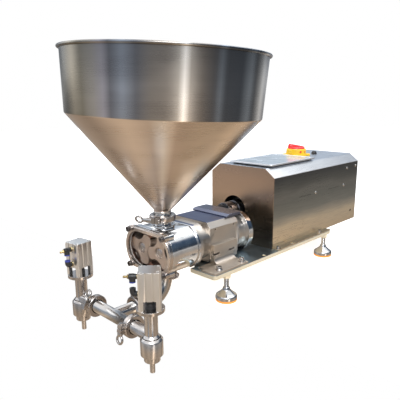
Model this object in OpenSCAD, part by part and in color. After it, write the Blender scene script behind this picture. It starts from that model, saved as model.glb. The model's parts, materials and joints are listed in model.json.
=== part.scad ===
// Bench-top filler: a hopper over a rotary lobe pump, which feeds two pneumatic nozzle valves.
// Frame: +Z up, -Y the nozzle side, +X to the machine's right seen from the nozzles.
// The origin is the centre of the four bench holes, on the underside of the base plate.

/* [Base plate] */
// Width of the base plate
plate_w = 260; // [256:1:290]
// Length of the base plate
plate_l = 518; // [510:1:540]
// Thickness of the base plate
plate_t = 10; // [8:0.5:12]
// Spacing of the bench holes across the plate
bench_hole_dx = 242; // [240:1:242]
// Spacing of the bench holes along the plate
bench_hole_dy = 128; // [120:1:136]
// Diameter of the bench holes
bench_hole_d = 9; // [7:0.5:10]

/* [Feet] */
// Height of the plate's underside above the surface that the feet stand on
foot_h = 67; // [60:1:80]
// Diameter of a foot's disc
foot_d = 53; // [46:1:60]
// Diameter of a foot's threaded stem
foot_stem_d = 12; // [10:1:14]

/* [Hopper] */
// Outer radius at the top of the hopper's cylinder
hopper_r = 222; // [200:1:230]
// Outer radius at the seam between cone and cylinder
hopper_seam_r = 215.3; // [195:0.1:222]
// Height of the cone
hopper_cone_h = 218; // [200:1:230]
// Height of the cylinder
hopper_cyl_h = 134; // [110:1:150]
// Thickness of the hopper's wall
hopper_wall = 1.5; // [1.2:0.1:2.5]
// Lean of the hopper towards +X, in degrees
hopper_lean_x = 2.63; // [0:0.01:3]
// Lean of the hopper towards +Y, in degrees
hopper_lean_y = 1.45; // [0:0.01:2]

/* [Pump] */
// Height of the two rotor shafts above the plate's underside
pump_z = 63; // [62:0.5:66]
// Distance between the two rotor shafts
rotor_dx = 62; // [62:1:62]
// Length of the rotors
rotor_l = 80; // [70:1:84]
// Gap between the rotors and the chamber's wall
rotor_gap = 0.45; // [0.3:0.05:0.6]
// Diameter of a rotor's shaft
shaft_d = 18; // [16:1:20]
// Outer diameter of the sanitary tube at the pump's ports
port_d = 38.1; // [36:0.1:40]

/* [Drive] */
// Radius of the jaw coupling
coupling_r = 26; // [24:1:30]
// Size of the square servo motor
motor_w = 80; // [60:1:86]

/* [Enclosure] */
// Width of the enclosure
case_w = 219; // [216:1:224]
// Length of the enclosure
case_l = 462; // [450:1:470]
// Height of the enclosure above the plate's top
case_h = 214; // [205:1:220]
// Thickness of the enclosure's sheet
sheet_t = 1.5; // [1.2:0.1:2]
// Width of the sloping top edge
slope_w = 29.5; // [26:0.5:32]
// Height of the sloping top edge
slope_h = 22.4; // [20:0.5:26]

/* [Nozzle valves] */
// Distance between the two nozzles
nozzle_dx = 262; // [250:1:280]
// Diameter of a nozzle's tip tube
tip_d = 11; // [9:0.5:12]
// Bore of a nozzle's tip tube
tip_bore = 8; // [6:0.5:9]
// Side of the square air cylinder
cylinder_w = 45; // [42:1:48]
// Travel of a valve's rod
rod_travel = 10; // [8:0.5:12]
// Turn of the right valve about its own axis, in degrees
valve_turn_right = -42; // [-60:1:-20]
// Turn of the left valve about its own axis, in degrees
valve_turn_left = 8; // [-20:1:20]

/* [Manifold] */
// Outer diameter of the manifold's tube
manifold_d = 28; // [25.4:0.1:32]
// Wall of the sanitary tubes
tube_wall = 1.6; // [1.2:0.1:2]

/* [Hidden] */
$fn = 64;
eps = 0.01;
front_y = -plate_l / 2;

// Colours
steel = [0.74, 0.73, 0.70];
polished = [0.80, 0.81, 0.83];
dark = [0.08, 0.08, 0.09];

// ---------------------------------------------------------------- helpers

// A shape drawn in X and Z, front view, pushed from y0 back to y1
module along_y(y0, y1) {
    translate([0, y1, 0]) rotate([90, 0, 0]) linear_extrude(y1 - y0) children();
}

// A round bar along Y
module bar_y(r, y0, y1) {
    translate([0, y0, 0]) rotate([-90, 0, 0]) cylinder(r = r, h = y1 - y0);
}

// A round bar along X
module bar_x(r, x0, x1) {
    translate([x0, 0, 0]) rotate([0, 90, 0]) cylinder(r = r, h = x1 - x0);
}

// A round bar along Z
module bar_z(r, z0, z1) {
    translate([0, 0, z0]) cylinder(r = r, h = z1 - z0);
}

// A hexagon bar along Z, by its width across flats
module hex_z(flats, z0, z1) {
    translate([0, 0, z0]) cylinder(r = flats / sqrt(3), h = z1 - z0, $fn = 6);
}

// Copies at the four signs of a place
module four(x, y) {
    for (sx = [-1, 1], sy = [-1, 1]) translate([sx * x, sy * y, 0]) children();
}

// A rectangle with cut corners
function cut_rect(w, h, c) = [
    [-w / 2 + c, -h / 2], [w / 2 - c, -h / 2], [w / 2, -h / 2 + c], [w / 2, h / 2 - c],
    [w / 2 - c, h / 2], [-w / 2 + c, h / 2], [-w / 2, h / 2 - c], [-w / 2, -h / 2 + c]];

// The pump's outline: two arcs of radius r about x = +-c, cut flat at +-h
module pump_outline(c, r, h) {
    intersection() {
        union() {
            for (s = [-1, 1]) translate([s * c, 0]) circle(r = r);
            square([2 * c, 2 * h], center = true);
        }
        square([4 * r, 2 * h], center = true);
    }
}

// A wing nut: a round neck along +Z from z = 0, with a flat ring centred at ring_z as its handle
wing_neck_r = 6.5;
wing_ring_r = 11;
wing_hole_r = 6;
wing_t = 5;
module wing_nut(ring_z, bore_l) {
    color(polished) difference() {
        union() {
            bar_z(wing_neck_r, 0, ring_z - 7);
            translate([0, 0, ring_z]) bar_y(wing_ring_r, -wing_t / 2, wing_t / 2);
        }
        bar_z(bolt_r + 0.06, -1, bore_l);
        translate([0, 0, ring_z + 1]) bar_y(wing_hole_r, -wing_t, wing_t);
    }
}

// A tube clamp about Z, centred on z = 0: a grooved band in two halves, two lugs and the bolt,
// which reaches bolt_l into the wing nut
lug_out = 6;
bolt_r = 3;
nut_face_x = -8.8;
module clamp_band(r, ferrule_r, h, bolt_l) {
    lug_y = r + lug_out;
    difference() {
        union() {
            rotate_extrude() polygon([
                [ferrule_r + 0.3, -3.6], [ferrule_r + 0.3, 3.6], [ferrule_r - 4, h / 2 - 0.4],
                [ferrule_r - 4, h / 2], [r - 2, h / 2], [r, h / 2 - 2], [r, -h / 2 + 2],
                [r - 2, -h / 2], [ferrule_r - 4, -h / 2], [ferrule_r - 4, -h / 2 + 0.4]]);
            translate([0.6, -lug_y - 5, -h / 2 + 1]) cube([8, 13, h - 2]);
            translate([-8.6, -lug_y - 5, -h / 2 + 1]) cube([8, 13, h - 2]);
            translate([-4, r - 3, -h / 2 + 1]) cube([8, 8, h - 2]);
        }
        translate([-0.6, -lug_y - 8, -h]) cube([1.2, 20, 2 * h]);
        translate([0, -lug_y, 0]) bar_x(bolt_r + 0.2, -20, 20);
        translate([0, r + 2, 0]) bar_z(2, -h, h);
    }
    translate([0, r + 2, 0]) bar_z(2, -h / 2, h / 2);
    translate([0, -lug_y, 0]) bar_x(bolt_r, nut_face_x - bolt_l, 12);
    translate([0, -lug_y, 0]) bar_x(5, 8.6, 12);
}

// Places a wing nut on the bolt of a clamp of radius r
module at_clamp_bolt(r) {
    translate([nut_face_x, -(r + lug_out), 0]) rotate([0, -90, 0]) children();
}

// ---------------------------------------------------------------- base plate and feet

foot_x = 118;
foot_front_y = -206;
foot_rear_y = 238;
notch_w = 100;
notch_floor_w = 50;
notch_l = 40;
frame_hole_y = [-230, -148];
bracket_hole_x = 116;

module foot_places() {
    for (sx = [-1, 1], y = [foot_front_y, foot_rear_y]) translate([sx * foot_x, y, 0]) children();
}

module base_outline() {
    difference() {
        polygon(cut_rect(plate_w, plate_l, 5));
        polygon([[-notch_w / 2, front_y - 1], [notch_w / 2, front_y - 1],
            [notch_w / 2, front_y + 13], [notch_floor_w / 2, front_y + notch_l],
            [-notch_floor_w / 2, front_y + notch_l], [-notch_w / 2, front_y + 13]]);
    }
}

// The plate, with the four nuts for the feet welded under it
module base_plate() {
    color("gainsboro") difference() {
        union() {
            linear_extrude(plate_t) base_outline();
            foot_places() hex_z(19, -10, 1);
        }
        four(bench_hole_dx / 2, bench_hole_dy / 2) bar_z(bench_hole_d / 2, -1, plate_t + 1);
        foot_places() bar_z(foot_stem_d / 2 + 0.1, -11, plate_t - 1.5);
        for (sx = [-1, 1], y = frame_hole_y)
            translate([sx * bracket_hole_x, y, 0]) bar_z(4, -1, plate_t + 1);
        for (sx = [-1, 1], y = case_screw_y)
            translate([sx * case_screw_x, y, 0]) bar_z(3, -1, plate_t + 1);
        translate([input_x, motor_y + 14, 0]) for (sx = [-1, 1])
            translate([sx * 32, 0, 0]) bar_z(3, -1, plate_t + 1);
    }
}

// One levelling foot: a stem, a bell and a disc above the soft pad
pad_t = 5;
module foot() {
    color(polished) union() {
        rotate_extrude() polygon([
            [0, -foot_h + pad_t], [foot_d / 2 - 1, -foot_h + pad_t],
            [foot_d / 2, -foot_h + pad_t + 1.5], [foot_d / 2, -foot_h + 13],
            [foot_d / 2 - 2, -foot_h + 15.5], [15, -foot_h + 23], [9, -foot_h + 28],
            [7.5, -foot_h + 31], [0, -foot_h + 31]]);
        bar_z(foot_stem_d / 2, -foot_h + 30, plate_t - 2.5);
    }
}

module foot_pad() {
    color("darkorange") rotate_extrude() polygon([
        [0, -foot_h], [foot_d / 2 - 2.5, -foot_h], [foot_d / 2 - 0.5, -foot_h + 2],
        [foot_d / 2 - 0.5, -foot_h + pad_t], [0, -foot_h + pad_t]]);
}

module at_foot(sx, y) {
    translate([sx * foot_x, y, 0]) children();
}

module foot_front_left() { at_foot(-1, foot_front_y) foot(); }
module foot_front_right() { at_foot(1, foot_front_y) foot(); }
module foot_rear_left() { at_foot(-1, foot_rear_y) foot(); }
module foot_rear_right() { at_foot(1, foot_rear_y) foot(); }
module pad_front_left() { at_foot(-1, foot_front_y) foot_pad(); }
module pad_front_right() { at_foot(1, foot_front_y) foot_pad(); }
module pad_rear_left() { at_foot(-1, foot_rear_y) foot_pad(); }
module pad_rear_right() { at_foot(1, foot_rear_y) foot_pad(); }

// ---------------------------------------------------------------- pump

pump_y = -299;
chamber_y0 = pump_y - rotor_l / 2 - 0.4;
chamber_y1 = pump_y + rotor_l / 2 + 0.4;
rotor_c = rotor_dx / 2;
lobe_r = rotor_c / 6;
rotor_r = rotor_c + 2 * lobe_r;
chamber_r = rotor_r + rotor_gap;
outline_c = 24;
outline_r = 57;
outline_h = 51;
ring_y0 = chamber_y0 - 11;
flange_y1 = chamber_y0 + 15;
case_y1 = -252;
cover_t = 7;
cover_bolt_x = 60;
cover_bolt_z = 43;
port_r = port_d / 2;
ferrule_r = 25.25;
case_top = pump_z + outline_h - 1;

module at_pump() {
    translate([0, 0, pump_z]) children();
}

module cover_bolt_places() {
    for (sx = [-1, 1], sz = [-1, 1])
        translate([sx * cover_bolt_x, 0, sz * cover_bolt_z]) children();
}

module chamber_outline(r) {
    for (s = [-1, 1]) translate([s * rotor_c, 0]) circle(r = r);
}

// A ferrule for a tube clamp: a flat disc with a sloping back, its face at z = 0
module ferrule(tube_r, disc_r) {
    rotate_extrude() polygon([
        [tube_r - tube_wall, 0], [disc_r, 0], [disc_r, 2.6], [tube_r, 5.6], [tube_r, 7],
        [tube_r - tube_wall, 7]]);
}

module pump_case() {
    color(polished) difference() {
        union() {
            at_pump() along_y(chamber_y0, flange_y1) pump_outline(outline_c, outline_r, outline_h);
            at_pump() cover_bolt_places() bar_y(8, chamber_y0, flange_y1);
            at_pump() along_y(flange_y1 - 1, case_y1)
                pump_outline(outline_c, outline_r - 3, outline_h - 1);
            at_pump() along_y(case_y1 - 6, case_y1) pump_outline(outline_c, outline_r, outline_h);
            translate([0, pump_y, 0]) bar_z(port_r + 9, case_top - 1, case_top + 6);
            translate([0, pump_y, 0]) bar_z(port_r, case_top, inlet_face_z - 5);
            translate([0, pump_y, inlet_face_z]) mirror([0, 0, 1]) ferrule(port_r, ferrule_r);
            translate([0, pump_y, 0]) bar_z(port_r, outlet_face_z + 5, 20);
            translate([0, pump_y, outlet_face_z]) ferrule(port_r, ferrule_r);
        }
        at_pump() along_y(chamber_y0 - 1, chamber_y1) chamber_outline(chamber_r);
        translate([0, pump_y, 0]) bar_z(port_r - tube_wall, outlet_face_z - 1, inlet_face_z + 1);
        at_pump() cover_bolt_places() bar_y(3.3, chamber_y0 - 1, flange_y1 - 3);
        for (s = [-1, 1]) translate([s * rotor_c, 0, pump_z])
            bar_y(shaft_d / 2 + 0.06, chamber_y1 - 1, case_y1 + 1);
        translate([0, 0, pump_z]) for (s = [-1, 1]) translate([s * 52, 0, -20])
            bar_y(2.5, case_y1 - 10, case_y1 + 1);
    }
}

module cover_ring() {
    color(polished) at_pump() difference() {
        union() {
            along_y(ring_y0, chamber_y0) pump_outline(outline_c, outline_r - 2, outline_h - 2);
            along_y(ring_y0 + 3, chamber_y0) pump_outline(outline_c, outline_r, outline_h);
            cover_bolt_places() bar_y(8, ring_y0 - 1, chamber_y0);
        }
        along_y(ring_y0 - 2, chamber_y0 + 1) pump_outline(rotor_c, chamber_r - 0.5, chamber_r - 0.5);
        along_y(chamber_y0 - cover_t, chamber_y0 + 1)
            pump_outline(rotor_c, chamber_r + 4.2, chamber_r + 4.2);
        cover_bolt_places() bar_y(4, ring_y0 - 2, chamber_y0 + 1);
    }
}

// The clear front cover
module pump_cover() {
    color([0.75, 0.68, 0.6, 0.4]) at_pump() difference() {
        along_y(chamber_y0 - cover_t, chamber_y0)
            pump_outline(rotor_c, chamber_r + 4, chamber_r + 4);
        along_y(chamber_y0 - 1.5, chamber_y0 + 1) difference() {
            pump_outline(rotor_c, chamber_r + 2.6, chamber_r + 2.6);
            pump_outline(rotor_c, chamber_r + 0.6, chamber_r + 0.6);
        }
    }
}

module cover_bolts() {
    color("dimgray") at_pump() cover_bolt_places() difference() {
        union() {
            bar_y(3.3, ring_y0 - 2, flange_y1 - 4);
            bar_y(6.5, ring_y0 - 8, ring_y0 - 1);
        }
        along_y(ring_y0 - 9, ring_y0 - 4) circle(r = 3.5, $fn = 6);
    }
}

// One lobe and one hollow of a three-lobed rotor: a rolling circle's paths outside and inside
// the pitch circle, each point moved inwards by the running gap
lobe_gap = 0.25;
function unit(v) = v / norm(v);
function rolled(a) = a < 60
    ? [(rotor_c + lobe_r) * cos(a) - lobe_r * cos(7 * a),
       (rotor_c + lobe_r) * sin(a) - lobe_r * sin(7 * a)]
    : let (b = a - 60, x = (rotor_c - lobe_r) * cos(b) + lobe_r * cos(5 * b),
           y = (rotor_c - lobe_r) * sin(b) - lobe_r * sin(5 * b))
      [x * cos(60) - y * sin(60), x * sin(60) + y * cos(60)];
function contact(a) = [rotor_c * cos(a), rotor_c * sin(a)];
function rotor_point(a) = a < 60
    ? rolled(a) - lobe_gap * unit(rolled(a) - contact(a))
    : rolled(a) - lobe_gap * unit(contact(a) - rolled(a));
function turned(p, a) = [p[0] * cos(a) - p[1] * sin(a), p[0] * sin(a) + p[1] * cos(a)];
rotor_step = 3;
rotor_outline = [for (lobe = [0, 120, 240], a = [rotor_step / 2 : rotor_step : 120])
    turned(rotor_point(a), lobe)];
hub_r = 12;

// A rotor on the shaft at side s, with a lobe pointing at the angle a
module rotor(s, a) {
    color("silver") translate([s * rotor_c, 0, pump_z]) difference() {
        along_y(pump_y - rotor_l / 2, pump_y + rotor_l / 2) rotate(a - 30) polygon(rotor_outline);
        bar_y(shaft_d / 2, pump_y - rotor_l / 2 - 1, pump_y + rotor_l / 2 + 1);
        bar_y(hub_r + 1, pump_y - rotor_l / 2 - 1, pump_y - rotor_l / 2 + 9);
    }
}
module rotor_left() { rotor(-1, 48); }
module rotor_right() { rotor(1, 72); }

// The domed nut that holds a rotor on its shaft
module rotor_nut(s) {
    nut_y = pump_y - rotor_l / 2;
    color(polished) translate([s * rotor_c, nut_y, pump_z]) rotate([-90, 0, 0]) difference() {
        rotate_extrude() polygon([[0, 0.6], [7, 0.6], [10, 1.8], [hub_r, 4], [hub_r, 9], [0, 9]]);
        bar_z(shaft_d / 2 - 3, 4, 10);
    }
}
module rotor_nut_left() { rotor_nut(-1); }
module rotor_nut_right() { rotor_nut(1); }

// ---------------------------------------------------------------- gearbox

gearbox_y0 = -208;
gearbox_y1 = -105;
neck_y0 = case_y1;
rear_flange_y0 = -84;
rear_flange_y1 = -68;
gearbox_w = 134;
gearbox_top = 114;
gearbox_slope = 15;
gear_y = -176;
gear_w = 16;
drive_gear_y = -128;
input_x = -25;
input_z = 98.5;
input_d = 14;
gear_module = 2;
timing_teeth = 31;
gear_tip_r = gear_module * (timing_teeth / 2 + 0.8);
drive_module = 1.5;
drive_teeth = 30;
pinion_teeth = 18;
bearing_r = 18;
bearing_w = 12;
bearing_y = [-232, -150, -98];
input_bearing_r = 13;
input_bearing_y = [-146, -98];

module shaft(s) {
    color("silver") translate([s * rotor_c, 0, pump_z]) union() {
        bar_y(shaft_d / 2, pump_y - rotor_l / 2 + 9, -88);
        bar_y(shaft_d / 2 - 3, pump_y - rotor_l / 2 + 4, pump_y - rotor_l / 2 + 9);
    }
}
module shaft_left() { shaft(-1); }
module shaft_right() { shaft(1); }

// A spur gear's outline with straight flanks; one tooth points at the angle a
function gear_points(n, m, a) = let (pitch = m * n / 2, half = 90 / n - 0.25 * 180 / (PI * pitch))
    [for (i = [0 : n - 1]) let (t = a + i * 360 / n) each [
        (pitch - 1.2 * m) * [cos(t - 1.45 * half), sin(t - 1.45 * half)],
        (pitch) * [cos(t - half), sin(t - half)],
        (pitch + 0.8 * m) * [cos(t - 0.55 * half), sin(t - 0.55 * half)],
        (pitch + 0.8 * m) * [cos(t + 0.55 * half), sin(t + 0.55 * half)],
        (pitch) * [cos(t + half), sin(t + half)],
        (pitch - 1.2 * m) * [cos(t + 1.45 * half), sin(t + 1.45 * half)]]];

// The angle at which the drive pair's teeth meet, seen from the front
mesh_a = atan2(input_z - pump_z, input_x + rotor_c);

module timing_gear(s) {
    tooth_a = s < 0 ? 0 : 180 + 180 / timing_teeth;
    color("darkgray") translate([s * rotor_c, 0, pump_z]) difference() {
        union() {
            along_y(gear_y, gear_y + gear_w) polygon(gear_points(timing_teeth, gear_module, tooth_a));
            bar_y(15, gear_y - 4, gear_y + gear_w + 4);
            if (s < 0) along_y(drive_gear_y, drive_gear_y + 12)
                polygon(gear_points(drive_teeth, drive_module, mesh_a));
            if (s < 0) bar_y(15, drive_gear_y - 4, drive_gear_y + 14);
        }
        bar_y(shaft_d / 2, -300, 0);
    }
}
module timing_gear_left() { timing_gear(-1); }
module timing_gear_right() { timing_gear(1); }

// One ball bearing drawn as a plain ring
module bearing_ring(r, bore_r, y) {
    difference() {
        bar_y(r, y - bearing_w / 2, y + bearing_w / 2);
        bar_y(bore_r, y - bearing_w, y + bearing_w);
    }
}

module shaft_bearings() {
    color("lightslategray") union() {
        for (s = [-1, 1], y = bearing_y)
            translate([s * rotor_c, 0, pump_z]) bearing_ring(bearing_r, shaft_d / 2 + 0.03, y);
        for (y = input_bearing_y)
            translate([input_x, 0, input_z]) bearing_ring(input_bearing_r, input_d / 2 + 0.03, y);
    }
}

module gearbox_profile(w, top, slope) {
    bottom = 14;
    polygon([[-w / 2, bottom + 8], [-w / 2 + 8, bottom], [w / 2 - 8, bottom], [w / 2, bottom + 8],
        [w / 2, top - slope], [w / 2 - slope * 0.83, top], [-w / 2 + slope * 0.83, top],
        [-w / 2, top - slope]]);
}

module gearbox_housing() {
    color("tan") difference() {
        union() {
            along_y(gearbox_y0, gearbox_y1) gearbox_profile(gearbox_w, gearbox_top, gearbox_slope);
            at_pump() along_y(neck_y0, neck_y0 + 9) pump_outline(outline_c, outline_r - 1, outline_h);
            at_pump() along_y(neck_y0 + 8, gearbox_y0 + 1) pump_outline(outline_c, 46, 45);
            at_pump() along_y(gearbox_y1 - 1, rear_flange_y0) pump_outline(outline_c, 50, 49);
        }
        at_pump() along_y(gear_y - 8, gear_y + gear_w + 8)
            pump_outline(rotor_c, gear_tip_r + 1, gear_tip_r + 1);
        along_y(-141, -112) union() {
            translate([-rotor_c, pump_z]) circle(r = 27);
            translate([input_x, input_z]) circle(r = 17);
        }
        for (s = [-1, 1]) translate([s * rotor_c, 0, pump_z]) {
            bar_y(shaft_d / 2 + 2, neck_y0 - 1, rear_flange_y0 + 1);
            bar_y(bearing_r, bearing_y[0] - bearing_w / 2, bearing_y[0] + bearing_w / 2);
            bar_y(bearing_r, bearing_y[1] - bearing_w / 2, bearing_y[1] + bearing_w / 2);
            bar_y(bearing_r, bearing_y[2] - bearing_w / 2, rear_flange_y0 + 1);
        }
        translate([input_x, 0, input_z]) {
            bar_y(input_bearing_r, input_bearing_y[0] - bearing_w / 2, -140);
            bar_y(input_bearing_r, input_bearing_y[1] - bearing_w / 2, rear_flange_y0 + 1);
            bar_y(input_d / 2 + 1, -142, rear_flange_y0 + 1);
        }
        for (s = [-1, 1], y = [-189, -122]) translate([0, y, 94]) bar_x_hole(s);
    }
}

// A blind bolt hole in the housing's side
module bar_x_hole(s) {
    if (s > 0) bar_x(2.6, gearbox_w / 2 - 6, gearbox_w / 2 + 1);
    else bar_x(2.6, -gearbox_w / 2 - 1, -gearbox_w / 2 + 6);
}

// The raised cover across the back of the gearbox, over the input gear
module gearbox_top_cover() {
    color("slategray") along_x_profile(61) polygon([
        [-142, gearbox_top], [-88, gearbox_top], [-88, gearbox_top + 7],
        [-132, gearbox_top + 7], [-142, gearbox_top + 3]]);
}

// A shape drawn in Y and Z, seen from +X, pushed to both sides by half
module along_x_profile(half) {
    translate([-half, 0, 0]) rotate([90, 0, 90]) linear_extrude(2 * half) children();
}

module rear_flange() {
    color(polished) difference() {
        at_pump() along_y(rear_flange_y0, rear_flange_y1)
            pump_outline(outline_c + 8, outline_r - 1, outline_h + 1);
        translate([input_x, 0, input_z]) bar_y(input_d / 2 + 1, rear_flange_y0 - 1, 0);
        at_pump() for (s = [-1, 1]) translate([s * rotor_c, 0, 0])
            bar_y(shaft_d / 2 + 1, rear_flange_y0 - 1, rear_flange_y0 + 8);
        translate([60, 0, 60]) bar_y(7, rear_flange_y1 - 10, rear_flange_y1 + 1);
        at_pump() for (p = [[-66, 22], [-66, -22], [34, 44], [-4, -44], [66, 34]])
            translate([p[0], 0, p[1]]) bar_y(2.6, rear_flange_y1 - 6, rear_flange_y1 + 1);
    }
}

// The socket plug in the rear flange
module oil_plug() {
    color(polished) translate([60, 0, 60]) difference() {
        union() {
            bar_y(7, rear_flange_y1 - 10, rear_flange_y1);
            bar_y(10, rear_flange_y1, rear_flange_y1 + 5);
        }
        along_y(rear_flange_y1 - 1, rear_flange_y1 + 6) circle(r = 4.6, $fn = 6);
    }
}

// ---------------------------------------------------------------- brackets under the gearbox

bracket_t = 5;
bracket_x0 = gearbox_w / 2;
bracket_x1 = 79;
bracket_y0 = gearbox_y0 + 1.3;
bracket_y1 = -122;
bracket_top = 60;
bracket_slot_y = [-197, -143];
bracket_slot_z = 37;
bracket_foot_y0 = -257;
bracket_foot_y1 = -137;
bracket_foot_x1 = plate_w / 2 - 1.5;
bend_out = 14;

module slot_x(y, z) {
    translate([bracket_x1 - bracket_t - 2, y, z]) {
        for (d = [-8, 8]) translate([0, d, 0]) bar_x(2.4, 0, 20);
        translate([0, -8, -2.4]) cube([20, 16, 4.8]);
    }
}

// A folded bracket: a ledge against the gearbox, an upright leaf with slots, a front leaf and,
// round an easy bend, a foot that lies on the base plate
module bracket() {
    color("tan") difference() {
        union() {
            translate([bracket_x0, bracket_y0, bracket_top - bracket_t])
                cube([bracket_x1 - bracket_x0, bracket_y1 - bracket_y0, bracket_t]);
            translate([bracket_x1 - bracket_t, bracket_y0, plate_t + 8])
                cube([bracket_t, bracket_y1 - bracket_y0, bracket_top - plate_t - 8]);
            translate([bracket_x0, bracket_y0, plate_t])
                cube([bracket_x1 - bracket_x0, bracket_t, bracket_top - plate_t]);
            along_y(bracket_y0, bracket_foot_y1) difference() {
                translate([bracket_x1 - bracket_t, plate_t]) square([bend_out + 5, bend_out + 5]);
                translate([bracket_x1 + bend_out, plate_t + bracket_t + bend_out]) circle(r = bend_out);
                translate([bracket_x1, plate_t + bracket_t + bend_out]) square(bend_out + 5);
                translate([bracket_x1 + bend_out, plate_t + bracket_t]) square(bend_out + 5);
            }
            translate([bracket_x1 + 6, bracket_foot_y0, plate_t]) cube([
                bracket_foot_x1 - bracket_x1 - 6, bracket_foot_y1 - bracket_foot_y0, bracket_t]);
            translate([bracket_x0, bracket_foot_y0 + 8, plate_t])
                cube([bracket_x1 - bracket_x0 + 8, bracket_y0 - bracket_foot_y0 - 8, bracket_t]);
        }
        for (y = bracket_slot_y) slot_x(y, bracket_slot_z);
        for (y = frame_hole_y) translate([bracket_hole_x, y, 0]) bar_z(4.2, 0, 30);
    }
}
module brackets() {
    for (s = [0, 1]) mirror([s, 0, 0]) bracket();
}

// The bolts that hold the brackets on the plate
module frame_bolts() {
    color(polished) for (s = [-1, 1]) mirror([s < 0 ? 1 : 0, 0, 0]) {
        for (y = frame_hole_y) translate([bracket_hole_x, y, 0]) difference() {
            union() {
                bar_z(4, 0.5, plate_t + bracket_t);
                bar_z(8.5, plate_t + bracket_t, plate_t + bracket_t + 1.6);
                bar_z(6.5, plate_t + bracket_t + 1.6, plate_t + bracket_t + 9);
            }
            hex_z(6, plate_t + bracket_t + 5, plate_t + bracket_t + 10);
        }
    }
}

// ---------------------------------------------------------------- drive

hub_y0 = -58;
hub_y1 = -28;
motor_hub_y0 = -18;
motor_hub_y1 = 12;
motor_y = 34;
motor_shaft_r = 9.5;

module at_input() {
    translate([input_x, 0, input_z]) children();
}

// The input shaft with its pinion
module input_shaft() {
    color("silver") at_input() union() {
        bar_y(input_d / 2, -151, -30);
        along_y(drive_gear_y + 0.5, drive_gear_y + 11.5) rotate(mesh_a + 180 + 180 / pinion_teeth)
            polygon(gear_points(pinion_teeth, drive_module, 0));
    }
}

// A jaw coupling: two hubs with set screws about a soft spider, and the motor's output shaft
module coupling() {
    color("silver") at_input() {
        difference() {
            union() {
                bar_y(coupling_r, hub_y0, hub_y1);
                bar_y(coupling_r, motor_hub_y0, motor_hub_y1);
                bar_y(coupling_r - 2, hub_y1 - 1, motor_hub_y0 + 1);
            }
            bar_y(input_d / 2, hub_y0 - 1, -30);
            for (y = [hub_y0 + 10, motor_hub_y1 - 10], a = [40, 160, 280])
                translate([0, y, 0]) rotate([0, -a, 0]) bar_x(3, input_d / 2 + 2, coupling_r + 1);
        }
        bar_y(motor_shaft_r, motor_hub_y1 - 1, motor_y - 2);
    }
}

// The servo motor with its flange reducer
module servo_motor() {
    color(dark) at_input() difference() {
        union() {
            along_y(motor_y, motor_y + 66) polygon(cut_rect(motor_w - 10, motor_w - 10, 10));
            along_y(motor_y + 66, motor_y + 74) polygon(cut_rect(motor_w, motor_w, 6));
            along_y(motor_y + 74, motor_y + 178) polygon(cut_rect(motor_w - 2, motor_w - 2, 9));
            along_y(motor_y + 178, motor_y + 206) polygon(cut_rect(motor_w - 8, motor_w - 8, 6));
            bar_y(19, motor_y - 8, motor_y + 1);
        }
        bar_y(motor_shaft_r + 0.06, motor_y - 9, motor_y + 1);
    }
}

// The angle that holds the reducer
module motor_bracket() {
    w = motor_w + 4;
    color("silver") difference() {
        union() {
            translate([input_x - w / 2, motor_y - 8, plate_t]) cube([w, 8, input_z + 34 - plate_t]);
            translate([input_x - w / 2, motor_y - 8, plate_t]) cube([w, 48, 8]);
            for (s = [-1, 1]) translate([input_x + s * (w / 2 - 3), 0, 0]) rotate([90, 0, 90])
                linear_extrude(6, center = true)
                    polygon([[motor_y - 1, plate_t + 7], [motor_y + 38, plate_t + 7],
                        [motor_y - 1, plate_t + 42]]);
        }
        at_input() bar_y(19, motor_y - 9, motor_y + 1);
        translate([input_x, motor_y + 14, 0]) for (s = [-1, 1]) translate([s * 32, 0, 0])
            bar_z(3, plate_t - 1, plate_t + 9);
    }
}

module servo_driver() {
    color("dimgray") difference() {
        translate([-96, 262, case_z0 + sheet_t]) cube([55, 150, 168]);
        for (i = [0 : 8]) translate([-90 + i * 5, 261, 30]) cube([2, 10, 140]);
    }
}

// ---------------------------------------------------------------- enclosure

case_y0 = -13;
case_y1b = case_y0 + case_l;
case_z0 = plate_t;
case_z1 = plate_t + case_h;
case_screw_x = 121;
case_screw_y = [-2, 207];
hole_r = 40;
side_screws = [[377, 185], [434, 187], [361, 132.5], [195, 133.6]];
vent_rows = [[112, 164, 8], [271, 326, 8]];

// The cross-section of the enclosure, drawn in inwards by t
module case_profile(t) {
    w = case_w / 2 - t;
    top = case_z1 - t;
    k = t * (sqrt(slope_w * slope_w + slope_h * slope_h) - slope_h) / slope_w;
    m = t * (sqrt(slope_w * slope_w + slope_h * slope_h) - slope_w) / slope_h;
    polygon([[-w, case_z0 - (t > 0 ? 1 : 0)], [w, case_z0 - (t > 0 ? 1 : 0)],
        [w, case_z1 - slope_h - k], [case_w / 2 - slope_w - m, top],
        [-case_w / 2 + slope_w + m, top], [-w, case_z1 - slope_h - k]]);
}

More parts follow.
